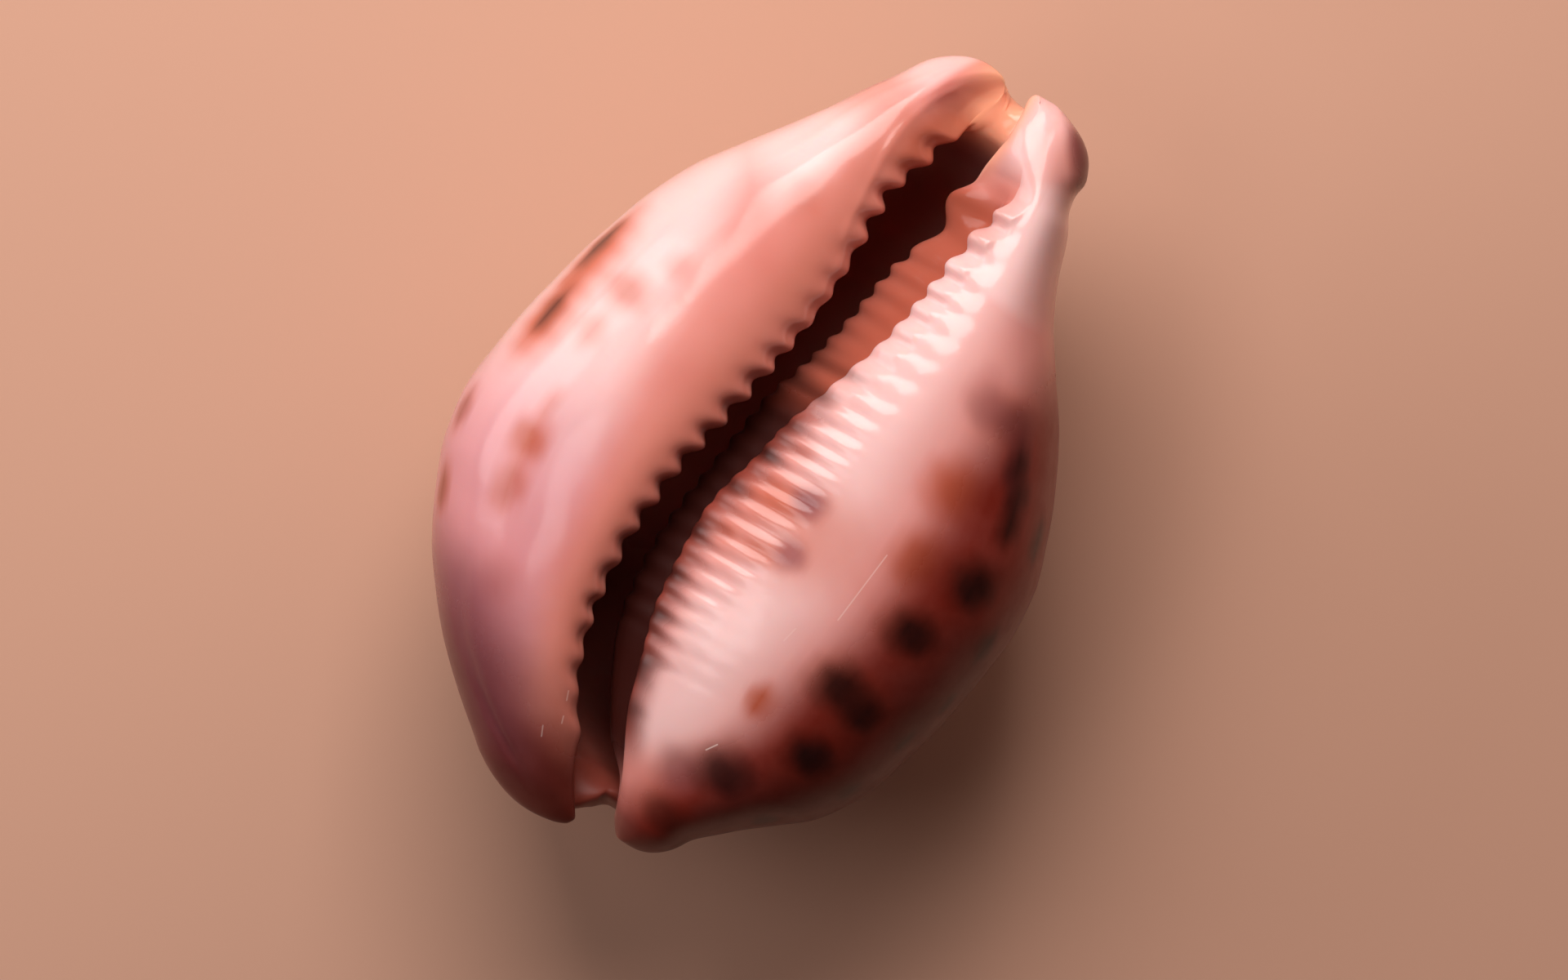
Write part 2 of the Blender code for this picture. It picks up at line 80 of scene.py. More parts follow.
# Highest line of the left lip.
LEFT_CREST_X = [(-43.3, -3), (-38, -5.4), (-30, -8.8), (-20, -11.3), (-10, -11.8), (0, -11),
                (10, -9.8), (20, -8.6), (28, -7.2), (34, -5.6), (37, -4.5), (39, -3.6), (41, -2.6),
                (43.1, -1.3)]
LEFT_CREST_Z = [(-43.3, 35.5), (-40, 37.8), (-35, 39.9), (-28, 41.7), (-15, 43.3), (0, 43.8),
                (15, 43.4), (28, 42.3), (34, 41.1), (37, 40.2), (39, 39.3), (41, 38.2),
                (43.1, 36.9)]
# Highest line of the right lip.
RIGHT_CREST_X = [(-41.4, 7.4), (-36, 8.5), (-30, 9.5), (-20, 10), (-10, 11), (0, 11.5), (10, 12),
                 (20, 11.5), (28, 11), (34, 10.5), (38, 9.8), (42.8, 9)]
RIGHT_CREST_Z = [(-41.4, 36.5), (-38, 38.8), (-33, 40.9), (-25, 42.8), (-12, 44.2), (0, 44.5),
                 (12, 44.3), (22, 43.5), (30, 42.6), (36, 41.6), (40, 40.6), (42.8, 39.5)]
# Edge of the left lip, measured over the tips of its teeth.
TIP_X = [(-43, 1.6), (-41.7, 1.1), (-40.5, 0.4), (-38.2, -1), (-35.7, -2.1), (-34.2, -2.5),
         (-30.7, -4.7), (-27.5, -6), (-24, -6.9), (-20, -7.4), (-15, -7.6), (-10.5, -7.2), (-7, -6.8),
         (-3.7, -6), (2.8, -4.5), (9.1, -3.3), (15.4, -2.5), (22, -2.2), (25.3, -2.15), (28.5, -1.75),
         (31.6, -0.5), (35.2, 0.6), (37.2, 0.8), (39, 1.3), (41, 2.2), (43, 2.9)]
TIP_Z = [(-43, 34.2), (-40, 35.2), (-36, 37), (-30, 38.6), (-20, 39.8), (0, 40.2), (20, 39.8),
         (30, 38.8), (34, 37.5), (36, 36.2), (37.5, 35.5), (39, 35.5), (43, 35.9)]
TOOTH_Y = [-34.2, -30.7, -27.5, -24, -21, -17.4, -13.8, -10.5, -7, -3.7, -0.6, 2.8, 6.2, 9.1, 12.1,
           15.4, 18.3, 22, 25.3, 28.5, 31.6, 35.2]
TOOTH_SIZE = [(-36.5, 0), (-33, 0.35), (-29, 0.45), (-25.5, 0.5), (-22.5, 0.7), (-19, 0.7),
              (-12, 0.9), (-5.3, 1), (1.2, 1.05), (7.6, 0.8), (10.5, 0.6), (13.7, 0.4), (17, 0.5),
              (20, 0.65), (23.9, 1.1), (27.2, 1.2), (30, 0.9), (33, 1.15), (36.5, 0)]
# Edge of the right lip where its ridges turn down into the opening.
EDGE_X = [(-41.3, 5), (-38.7, 4.1), (-35.7, 3), (-33.5, 2), (-31, 0.8), (-29, 0), (-26.2, -0.7),
          (-23, -1.6), (-19.5, -2.5), (-14, -2.9), (-10, -3), (-6.8, -2.6), (-2, -1.2), (2, -0.3),
          (6, 1.2), (10, 2.6), (14, 4), (18, 4.9), (22, 5.6), (26, 6.3), (30, 7.3), (32.5, 8.4),
          (35, 8.9), (42.8, 7)]
EDGE_Z = [(-41.3, 35.2), (-38, 36.9), (-30, 39.1), (-20, 40), (0, 40.4), (20, 40.6), (30, 40.7),
          (35, 40.8), (42.8, 39)]
RIDGE_Y = [-25, -23, -21, -19, -17, -15, -12.8, -10.9, -8.8, -6.7, -4.5, -2.4, -0.4, 1.4, 3.3, 5.6, 8,
           10.6, 13.5, 16.1, 18.8, 21.2, 24, 27.6, 31]
RIDGE_END_X = [(-26, 0.5), (-22, 2), (-16, 4.2), (-8, 7), (0, 7.6), (6, 8), (11, 6.4), (16, 7.2),
               (22, 8), (27, 8.8), (31, 9.8), (34, 10)]
RIDGE_SIZE = [(-28, 0), (-24, 0.15), (-16, 0.22), (6, 0.26), (12, 0.38), (17, 0.55), (24, 0.95), (28, 1.2),
              (31, 1.15), (34, 0)]
MERGE = [(30.8, 0), (33.6, 1), (43, 1)]     # how far ridges and groove give way to a plain slope
KNOB = [(34, 0), (38.5, 1), (43, 1)]        # how far that slope swells into the rounded front knob
TROUGH = [(35, 0), (38.5, 1), (43, 1)]      # how far the left slope eases into the canal floor
SLOPE_ROUNDNESS = [(-43, 2), (-30, 2.1), (25, 2.1), (33, 1.8), (38.5, 1.5), (43, 1.5)]
# Groove between the ridges and the shelf inside them.
GROOVE_X = [(-41, 4.7), (-37, 4), (-33, 3.2), (-28, 1.8), (-20, -0.3), (-10, -0.8), (0, 0.9),
            (8, 3), (16, 5.2), (22, 6.3), (26, 6.9), (30, 7.7), (33, 8.1), (36, 7.2), (42.8, 5.5)]
GROOVE_Z = [(-41, 34.6), (-37, 35.6), (-30, 36.3), (-15, 36.8), (0, 37), (15, 37.2), (24, 37.2),
            (28, 37.6), (30.5, 38.4), (32.5, 39.5), (34.5, 39.9), (38, 39.8), (42.8, 38.4)]
# Free edge of the shelf.
SHELF_X = [(-41, 4.8), (-38, 3.8), (-36, 2.9), (-33, 0.2), (-30, -1.6), (-27, -3.1), (-24, -4.4),
           (-20, -5.3), (-15, -5.7), (-10, -5.4), (-5, -4.6), (0, -3.8), (4, -3.1), (8, -1.7),
           (11, -0.8), (14.5, 0.1), (18, 0.7), (21, 1.3), (24, 2.45), (27, 3.3), (30, 3.1), (32.3, 4.1),
           (34, 4.2), (36, 4.5), (38, 4.8), (40, 4.8), (42.8, 4.4)]
SHELF_Z = [(-41, 33.9), (-37, 34.2), (-33, 33), (-25, 32.6), (0, 33), (15, 33.2), (24, 33.6),
           (29, 34.4), (31, 35.6), (33, 37), (35, 38), (37, 38.7), (39, 38.8), (42.8, 37.4)]
LOBE_Y = [-23, -20.6, -18.2, -15.8, -13.4, -11, -8.6, -6.2, -3.8, -1.4, 1, 3.4, 5.7, 7.9, 9.8, 11.8,
          14.1, 16.5, 18.8, 21.2, 23.6, 29.5]
SHELF_DIP = [(-43, 0.1), (-36, 0.4), (-30, 1.4), (0, 1.6), (30, 1.5), (34, 0.5), (37, 0.1)]
LOBE_SIZE = [(-25, 0), (-20, 0.4), (10, 0.5), (20, 0.6), (24, 0.7), (29.5, 1.2), (32.5, 0)]
# Inside of the wall: root of the shelf, ceiling, right side, floor, left side and lip underside.
ROOT_X = [(-41, 4.7), (-37, 3.8), (-33, 2.4), (-27, 0.6), (-20, -0.8), (-10, -0.9), (0, 0.7), (8, 2.8),
          (16, 4.8), (24, 6.2), (29, 7), (32, 6.6), (35, 5.1), (38, 5), (42.8, 5)]
ROOT_Z = [(-41, 33.6), (-37, 33), (-33, 31.5), (-25, 31), (0, 31.3), (15, 31.8), (24, 32.5),
          (30, 32.8), (33, 34), (36, 36.2), (38, 37.3), (42.8, 36.6)]
CEILING_X = [(-41, 5), (-37, 4.4), (-34, 5), (-30, 6.5), (-22, 9.5), (-10, 11.5), (0, 12.5), (12, 12),
             (22, 11), (28, 9.5), (32, 7.5), (35, 5.8), (38, 5.2), (42.8, 5.2)]
CEILING_Z = [(-41, 33.4), (-37, 33.3), (-34, 34), (-30, 35.6), (-22, 37.2), (-10, 38.4), (0, 38.8),
             (12, 38.5), (22, 37.5), (28, 36.8), (32, 36.4), (35, 36.4), (38, 36.7), (42.8, 36.2)]
INNER_RIGHT_X = [(-41, 5), (-38.5, 4.6), (-36, 5.2), (-33, 8.5), (-28, 14.8), (-20, 22), (-10, 25.8),
                 (0, 26.6), (10, 23.4), (18, 18), (24, 13.6), (29, 9.8), (33, 6.9), (36, 5.5),
                 (39, 5.2), (42.8, 5.2)]
INNER_RIGHT_Z = [(-41, 33.1), (-38, 32.8), (-34, 30), (-28, 27.5), (-15, 26.5), (0, 26.5), (15, 27),
                 (25, 29), (31, 31), (35, 34), (38, 36), (42.8, 35.9)]
FLOOR_X = [(-41, 2.6), (-38, 1.8), (-34, 0.6), (-25, 0), (0, 0), (25, 1), (34, 2.4), (38, 3),
           (43, 3.6)]
FLOOR_Z = [(-41, 33), (-38.5, 32.4), (-36.5, 30.6), (-34.5, 25.5), (-32, 18.5), (-28, 11), (-22, 6),
           (-12, 2.9), (-3, 2.3), (8, 3.4), (18, 7.4), (26, 12.9), (31, 18.6), (33.5, 23.4),
           (35, 28.8), (36, 32.3), (37, 34.3), (38.5, 35.1), (40.5, 35.4), (43, 35.6)]
INNER_LEFT_X = [(-42, 1.1), (-40, 0), (-38, -1.3), (-36, -2.6), (-33, -6.2), (-28, -12), (-20, -19),
                (-12, -23), (-5, -24), (0, -23.6), (8, -21.6), (16, -18), (24, -12), (29, -7.2),
                (33, -3), (35.5, -0.7), (37.2, 1.2), (39, 2), (41, 2.7), (43, 3.2)]
INNER_LEFT_Z = [(-42, 33.2), (-38, 32.6), (-34, 30), (-28, 27.5), (-15, 26.5), (0, 26.5), (15, 27),
                (25, 28.5), (31, 30.5), (35, 33.3), (38, 35.1), (43, 35.65)]
UNDER_LIP_X = [(-42, 0.9), (-38, -1.6), (-35, -4), (-30, -9), (-20, -12.5), (-10, -12.3), (0, -10),
               (10, -8), (20, -7), (28, -6.2), (33, -3.8), (36, -1.2), (37.5, 1), (39, 1.6), (41, 2.4),
               (43, 3)]
UNDER_LIP_Z = [(-42, 33.4), (-38, 33.4), (-35, 34.2), (-30, 35.4), (-20, 36), (0, 36.2), (20, 35.8),
               (28, 34.8), (33, 33.8), (36, 34), (38, 35.2), (43, 35.75)]

# Half a ring runs from the left lip's tip (0) over its crest (1), the left margin (2), the back (3),
# the right margin (4), the right crest (5) and the ridged edge (6) to the groove (7).
COLUMNS = [34, 20, 24, 24, 22, 32, 10]
FRONT_END = [(0, 41.75), (0.5, 42.25), (1, 42.75), (1.5, 43), (2, 43.05), (2.6, 42.3), (2.85, 41.8),
             (3, 41.4), (3.2, 41.1), (3.4, 41.6), (3.7, 42.2), (4, 42.6), (5, 42.8), (6, 42.75),
             (7, 42.3)]
REAR_END = [(0, 41.5), (0.3, 42), (0.6, 42.6), (1, 43.05), (1.5, 43.25), (2, 43.2), (2.6, 41.8),
            (3, 40.1), (3.2, 39), (3.5, 39.1), (3.8, 40.2), (4, 40.9), (4.5, 41.35), (5, 41.3),
            (5.5, 40.7), (6, 39.7), (6.5, 39.2), (7, 38.8)]
END_RADIUS = [(0, 2.2), (1, 3.4), (2, 3.6), (3, 1.8), (3.2, 1.6), (3.6, 2.6), (5, 2.4),
              (6, 1.5), (7, 1.4)]

# Roundness of the quarter arcs of a section: 2 is an ellipse, more is squarer, less is flatter.
SHOULDER_ROUNDNESS = 2.3    # from either crest down to its margin
BACK_ROUNDNESS = 2.15
RIDGED_ROUNDNESS = 1.65     # from the right crest to the ridged edge
UNDER_LIP_ROUNDNESS = 2.0
INNER_LEFT_ROUNDNESS = 2.2
HOLLOW_ROUNDNESS = 2.1
CEILING_SHARE = 0.45        # where the ceiling's own line crosses its segment
TOOTH_REACH = 0.8           # how far up the slope the gaps between the teeth run
TOOTH_DROP = 0.35           # how far a gap drops for each millimetre that it cuts in
RIDGE_POWER = 1.3           # above 1, ridges are broader than the gaps between them
RIDGE_SIDEWAYS = 0.8        # how far a ridge moves the edge across, for its size
RIDGE_UPWARD = 0.5          # how far it lifts the edge and the slope above it
GROOVE_SIDEWAYS = 0.4       # how far it moves the groove across
EDGE_PLACE = 0.38           # on the plain slope at the front, where the edge would lie
GROOVE_PLACE = 0.48         # and where the groove would


def smooth(points, y):
    """Value at y of a smooth line through the points, without overshoot."""
    xs = np.array([p[0] for p in points], dtype=float)
    vs = np.array([p[1] for p in points], dtype=float)
    width = np.diff(xs)
    rise = np.diff(vs) / width
    slope = np.zeros(len(xs))
    slope[0] = rise[0]
    slope[-1] = rise[-1]
    same = rise[:-1] * rise[1:] > 0
    both = np.where(same, rise[:-1] + rise[1:], 1.0)
    slope[1:-1] = np.where(same, 2 * rise[:-1] * rise[1:] / both, 0.0)
    y = np.clip(y, xs[0], xs[-1])
    k = np.clip(np.searchsorted(xs, y) - 1, 0, len(width) - 1)
    t = (y - xs[k]) / width[k]
    a = (1 + 2 * t) * (1 - t) ** 2 * vs[k]
    b = t * (1 - t) ** 2 * width[k] * slope[k]
    c = t * t * (3 - 2 * t) * vs[k + 1]
    d = t * t * (t - 1) * width[k] * slope[k + 1]
    return a + b + c + d


def wave(places, y):
    """1 on each listed place, -1 halfway between two of them."""
    return np.cos(2 * np.pi * np.interp(y, places, np.arange(len(places))))


def quarter(start, end, level, n):
    """Rounded quarter arc; level 0 keeps the start level with its pole, 1 the end."""
    def place(t):
        angle = t * np.pi / 2
        r = (np.cos(angle) ** n + np.sin(angle) ** n) ** (-1.0 / n)
        along, across = np.sin(angle) * r, np.cos(angle) * r
        if level == 0:
            return start[0] + (end[0] - start[0]) * along, end[1] + (start[1] - end[1]) * across
        return end[0] + (start[0] - end[0]) * across, start[1] + (end[1] - start[1]) * along
    return place


def bend(start, end, dip):
    """S-shaped run that leaves and arrives upright, hanging down by dip halfway."""
    def place(t):
        ease = (1 - np.cos(np.pi * t)) / 2
        hang = dip * np.sin(np.pi * t)
        return start[0] + (end[0] - start[0]) * ease, start[1] + (end[1] - start[1]) * t - hang
    return place


def ring_columns():
    """Per column of half a ring: the segment it is in, and how far along that segment."""
    rows = [(i, k / count) for i, count in enumerate(COLUMNS) for k in range(count)]
    return np.array(rows + [(len(COLUMNS), 0.0)]).T


def section(y, seg, t, inside):
    """Position in X and Z for arrays of stations, on the outer or the inner half of the ring."""
    def at(xs, zs):
        return smooth(xs, y), smooth(zs, y)
    teeth = smooth(TOOTH_SIZE, y) * (1 - wave(TOOTH_Y, y)) / 2
    tip = at(TIP_X, TIP_Z)
    left, right = at(LEFT_X, LEFT_Z), at(RIGHT_X, RIGHT_Z)
    back, floor = at(BACK_X, BACK_Z), at(FLOOR_X, FLOOR_Z)
    left_crest, right_crest = at(LEFT_CREST_X, LEFT_CREST_Z), at(RIGHT_CREST_X, RIGHT_CREST_Z)
    ridge = smooth(RIDGE_SIZE, y) * (0.5 - ((1 - wave(RIDGE_Y, y)) / 2) ** RIDGE_POWER)
    edge = at(EDGE_X, EDGE_Z)
    edge = (edge[0] - RIDGE_SIDEWAYS * ridge, edge[1] + RIDGE_UPWARD * ridge)
    groove = at(GROOVE_X, GROOVE_Z)
    groove = (groove[0] - GROOVE_SIDEWAYS * ridge, groove[1])
    shelf = at(SHELF_X, SHELF_Z)
    shelf = (shelf[0] - smooth(LOBE_SIZE, y) * wave(LOBE_Y, y) / 2, shelf[1])
    root, ceiling = at(ROOT_X, ROOT_Z), at(CEILING_X, CEILING_Z)
    inner_right, inner_left = at(INNER_RIGHT_X, INNER_RIGHT_Z), at(INNER_LEFT_X, INNER_LEFT_Z)
    under = at(UNDER_LIP_X, UNDER_LIP_Z)
    flat_slope = smooth(SLOPE_ROUNDNESS, y)
    split = CEILING_SHARE
    if inside:
        runs = [quarter(tip, under, 1, UNDER_LIP_ROUNDNESS),
                quarter(under, inner_left, 0, INNER_LEFT_ROUNDNESS),
                quarter(inner_left, floor, 1, HOLLOW_ROUNDNESS),
                quarter(floor, inner_right, 0, HOLLOW_ROUNDNESS),
                None, bend(root, shelf, smooth(SHELF_DIP, y)), bend(shelf, groove, 0.0)]
        to_ceiling = quarter(inner_right, ceiling, 1, HOLLOW_ROUNDNESS)
        to_root = quarter(ceiling, root, 0, UNDER_LIP_ROUNDNESS)
    else:
        runs = [quarter(tip, left_crest, 1, flat_slope),
                quarter(left_crest, left, 0, SHOULDER_ROUNDNESS),
                quarter(left, back, 1, BACK_ROUNDNESS), quarter(back, right, 0, BACK_ROUNDNESS),
                quarter(right, right_crest, 1, SHOULDER_ROUNDNESS),
                quarter(right_crest, edge, 0, RIDGED_ROUNDNESS), bend(edge, groove, 0.0)]
    x, z = groove[0].copy(), groove[1].copy()
    for i, run in enumerate(runs):
        here = seg == i
        if run is None:
            px, pz = to_ceiling(np.clip(t / split, 0, 1))
            qx, qz = to_root(np.clip((t - split) / (1 - split), 0, 1))
            px, pz = np.where(t < split, px, qx), np.where(t < split, pz, qz)
        else:
            px, pz = run(t)
        x, z = np.where(here, px, x), np.where(here, pz, z)
    reach = np.clip(t / TOOTH_REACH, 0, 1)
    notch = teeth * (seg == 0) * (1 - reach * reach * (3 - 2 * reach))
    x, z = x - notch, z - TOOTH_DROP * notch
    ease = smooth(TROUGH, y)
    if inside:
        u = (seg + t) / 3
        ease = ease * (seg <= 2)
        x = x + (tip[0] + (floor[0] - tip[0]) * u - x) * ease
        z = z + (tip[1] + (floor[1] - tip[1]) * u * u * (3 - 2 * u) - z) * ease
    else:
        ease = ease * (seg == 0)
        x = x + (tip[0] + (left_crest[0] - tip[0]) * t - x) * ease
        z = z + (tip[1] + (left_crest[1] - tip[1]) * t * t * (3 - 2 * t) - z) * ease
        reach = smooth(RIDGE_END_X, y)
        near = np.clip(3 * (reach - x) / np.maximum(reach - edge[0], 0.1), 0, 1)
        z = z + np.where(seg == 5, RIDGE_UPWARD * ridge * near * near * (3 - 2 * near), 0)
    place = plain_place(seg, t, inside)
    merge = smooth(MERGE, y) * (place >= 0)
    place = np.clip(place, 0, 1)
    round_x, round_z = quarter(right_crest, shelf, 0, SHOULDER_ROUNDNESS)(place)
    fall = 1 - place * place * (3 - 2 * place)
    hollow_x = right_crest[0] + (shelf[0] - right_crest[0]) * place
    hollow_z = shelf[1] + (right_crest[1] - shelf[1]) * fall
    full = smooth(KNOB, y)
    plain_x, plain_z = hollow_x + (round_x - hollow_x) * full, hollow_z + (round_z - hollow_z) * full
    return x + (plain_x - x) * merge, z + (plain_z - z) * merge


def plain_place(seg, t, inside):
    """Place between the right crest (0) and the shelf's edge (1), negative elsewhere."""
    if inside:
        to_shelf = GROOVE_PLACE + (1 - GROOVE_PLACE) * (1 - t)
        return np.where(seg == 6, to_shelf, np.where(seg == 7, GROOVE_PLACE, -1.0))
    to_groove = EDGE_PLACE + (GROOVE_PLACE - EDGE_PLACE) * t
    place = np.where(seg == 5, EDGE_PLACE * t, np.where(seg == 6, to_groove, -1.0))
    return np.where(seg == 7, GROOVE_PLACE, place)


def rings():
    """Outer and inner halves of every ring, ends rounded so that both halves meet."""
    seg, t = ring_columns()
    front, rear, radius = (smooth(ends, seg + t) for ends in (FRONT_END, REAR_END, END_RADIUS))
    half = int(round(DRAWN_LENGTH / STATION_STEP / 2))
    steps = [(side, s / half, 0.0) for side, s in
             [(-1, k) for k in range(half, 0, -1)] + [(1, k) for k in range(half + 1)]]
    turn = [(k + 1) * np.pi / 2 / END_STEPS for k in range(END_STEPS)]
    steps = [(-1, 1.0, a) for a in reversed(turn)] + steps + [(1, 1.0, a) for a in turn]
    y = np.empty((len(steps), len(seg)))
    for i, (side, s, angle) in enumerate(steps):
        end = front if side > 0 else rear
        y[i] = side * (s * (end - radius) + radius * np.sin(angle))
    close = np.array([np.cos(step[2]) for step in steps])[:, None]
    seg, t = np.broadcast_to(seg, y.shape), np.broadcast_to(t, y.shape)
    ox, oz = section(y, seg, t, False)
    ix, iz = section(y, seg, t, True)
    mx, mz = (ox + ix) / 2, (oz + iz) / 2
    outer = np.stack([mx + (ox - mx) * close, y, mz + (oz - mz) * close], axis=-1)
    inner = np.stack([mx + (ix - mx) * close, y, mz + (iz - mz) * close], axis=-1)
    outer[..., 2] = np.maximum(outer[..., 2] - REST_FLAT_DEPTH, 0.0)
    inner[..., 2] -= REST_FLAT_DEPTH
    return outer * SCALE, inner * SCALE


# Fine lines on the left lip: the rim of the toothed slope, and creases of the margin.
BEVEL_X = [(14, -3.6), (19.6, -3.4), (21, -4.3), (23.2, -4.7), (26.6, -4.8), (30, -4.9), (32, -4.8),
           (34, -4.5), (36, -3.9), (38, -2.9), (39.5, -1.8)]
FRONT_CREASE_X = [(22, -16.4), (27.7, -13.2), (33.8, -10), (36.8, -8), (39.5, -5.7), (42, -3)]
REAR_CREASE_X = [(-42, -3), (-39.5, -7), (-37, -11), (-34, -15), (-31, -18), (-27, -20.4), (-22, -23)]

# Heights and depths of the fine relief, which only the dressed skin has.
BEVEL_HEIGHT = 0.09         # raised line along the rim of the toothed slope
BEVEL_DIP = 0.1             # hollow just inside that line
BEVEL_MIN_WIDTH = 2.4
FLUTE_DEPTH = 0.13          # grooves that run up the slope between the teeth
FRONT_CREASE_DEPTH = 0.22
REAR_CREASE_DEPTH = 0.3
SKIN_INSET = 0.09           # keeps the uneven skin inside the solid's outline
CALM_LEVEL = 6.0            # below this height the unevenness fades out towards the floor
GRID_WAY = -1.0             # turns the grid's own normals outward
KNOB_PASSES = 60            # rounds of smoothing at the crest of the front knob

# Spots under the glaze, as (x, y, half width, half length, darkness, warmth, violet).
SPOTS = [
    (-24.7, 8.6, 1.4, 3.6, 0.88, 1.0, 0.0), (-26.1, 0.5, 1.3, 2.8, 0.85, 1.0, 0.0),
    (-24.9, 7.8, 3.0, 4.8, 0.0, 1.0, 0.0), (-26.1, 0.0, 2.8, 4.0, 0.0, 1.0, 0.0),
    (-25.4, 4.4, 1.5, 1.8, 0.1, 0.9, 0.0), (-26.4, -19.8, 1.4, 2.2, 0.4, 0.9, 0.1),
    (-25.0, -25.0, 1.2, 2.6, 0.12, 0.8, 0.1), (-28.4, -12.0, 1.4, 2.0, 0.25, 0.7, 0.3),
    (-20.0, 5.8, 1.9, 1.7, 0.08, 0.7, 0.05), (-21.2, 0.9, 1.2, 1.7, 0.02, 0.5, 0.0),
    (-17.4, 10.5, 1.2, 1.2, 0.03, 0.35, 0.0), (-10.0, 22.8, 1.5, 2.0, 0.03, 0.35, 0.05),
    (-21.4, -11.6, 1.6, 1.9, 0.15, 1.0, 0.0), (-20.4, -16.3, 1.4, 2.2, 0.1, 0.8, 0.1),
    (-17.3, -25.0, 1.8, 2.1, 0.04, 0.2, 0.2), (-20.8, -7.5, 0.8, 1.6, 0.02, 0.45, 0.0),
    (16.6, 13.5, 2.4, 2.0, 0.15, 0.35, 0.45), (19.4, 13.5, 2.6, 2.2, 0.4, 0.5, 0.3),
    (21.6, 10.0, 1.7, 2.5, 0.9, 0.4, 0.2), (23.0, 7.0, 1.6, 2.2, 0.9, 0.4, 0.1),
    (23.8, 4.2, 1.5, 2.0, 0.9, 0.4, 0.0), (23.5, -2.4, 3.1, 2.8, 1.0, 0.6, 0.0),
    (21.4, -9.6, 3.4, 2.5, 1.0, 0.7, 0.0), (17.9, -17.5, 3.2, 2.5, 1.0, 0.7, 0.0),
    (20.8, -18.6, 2.7, 2.5, 1.0, 0.7, 0.0), (18.5, -25.0, 3.2, 2.7, 1.0, 0.7, 0.0),
    (12.3, -30.6, 3.2, 2.6, 0.95, 0.6, 0.1), (11.4, -22.7, 1.1, 1.5, 0.12, 1.0, 0.0),
    (7.4, -32.2, 2.2, 2.4, 0.25, 0.4, 0.4), (8.6, -37.0, 3.0, 2.0, 0.6, 0.6, 0.0),
    (28.0, -7.0, 1.6, 2.4, 0.9, 0.7, 0.0), (27.0, 4.5, 1.4, 2.4, 0.8, 0.7, 0.0),
    (27.4, -13.5, 1.5, 2.0, 0.85, 0.8, 0.0), (25.4, -19.0, 1.6, 2.0, 0.85, 0.8, 0.0),
    (23.4, -26.0, 1.8, 1.8, 0.85, 0.7, 0.0), (17.5, -32.5, 2.2, 1.8, 0.85, 0.6, 0.0),
    (14.8, 15.8, 1.6, 1.8, 0.0, 0.1, 0.2), (18.0, 5.0, 2.6, 2.4, 0.08, 0.9, 0.0),
    (18.5, -3.0, 2.2, 2.4, 0.15, 0.9, 0.0),
    (5.9, -3.4, 1.7, 1.6, 0.12, 0.45, 0.85), (6.3, -8.7, 1.7, 1.5, 0.05, 0.45, 0.7),
    (9.0, -6.2, 4.2, 3.8, 0.0, 0.42, 0.0), (6.4, -6.0, 3.0, 4.6, 0.0, 0.34, 0.0),
    (1.4, -4.4, 2.4, 3.4, 0.0, 0.4, 0.0), (1.0, -9.5, 2.0, 2.4, 0.0, 0.35, 0.0),
    (2.8, -4.4, 2.2, 1.6, 0.02, 0.8, 0.0), (3.9, -9.7, 1.6, 1.0, 0.02, 0.7, 0.0),
    (2.4, 0.8, 1.3, 0.8, 0.05, 0.5, 0.15), (-0.5, -5.3, 1.2, 0.7, 0.06, 0.6, 0.15),
    (-0.2, -9.8, 1.1, 0.7, 0.06, 0.6, 0.15), (6.3, 34.5, 0.12, 0.18, 0.4, 0.9, 0.0),
]
SPOT_LEVEL = 17.0                   # the spots listed above lie over this height
# Spots of the back, which the photo doesn't show, are scattered by a seeded draw.
BACK_SPOT_SEED = 11
BACK_SPOT_LEVEL = 25.5              # they lie under this height
BACK_SPOT_COUNT = 120
BACK_SPOT_GAP = 4.6                 # least distance between two of them
BACK_SPOT_SIZE = (0.9, 2.1)         # half widths
BACK_SPOT_STRENGTH = (0.7, 1.0)
BACK_SPOT_STRETCH = (0.85, 1.25)    # half length for each half width
BACK_SPOT_WARMTH = 0.8
# Dark blotches in the wall just inside the ridged edge, as (y, half length, strength).
WALL_BLOTCHES = [(9.6, 0.8, 0.5), (6.4, 1.0, 0.8), (2.0, 1.4, 0.8), (-1.0, 1.3, 1.0), (-5.4, 1.2, 0.8),
                 (-10.8, 1.3, 1.0), (-16.0, 1.5, 1.0), (-20.5, 1.6, 1.0), (-25.4, 1.7, 1.0),
                 (-29.5, 1.5, 0.8)]
# Inner border of the brown haze that covers the right flank.
HAZE_X = [(-41, 0.5), (-35, 3.6), (-30, 6.3), (-25, 9.2), (-20, 11), (-15, 13.2), (-8, 14.5), (0, 14.9),
          (8, 15), (14, 16), (20, 17.8), (28, 20.6)]
# Scratches in the glaze, as two ends (x, y, x, y), and how much paler they are.
SCRATCHES = [(14.8, -3.9, 13.8, -11.8, 0.3), (9.6, -28.3, 8.9, -29.3, 0.5),
             (-5.7, -31.0, -5.4, -31.9, 0.3), (-4.9, -33.4, -4.7, -34.1, 0.25),
             (-6.2, -35.2, -5.8, -36.2, 0.25), (10.6, -14.6, 10.2, -16.2, 0.2)]
SCRATCH_WIDTH = 0.1
SCRATCH_LEVEL = (28.0, 31.0)        # scratches fade in between these two heights

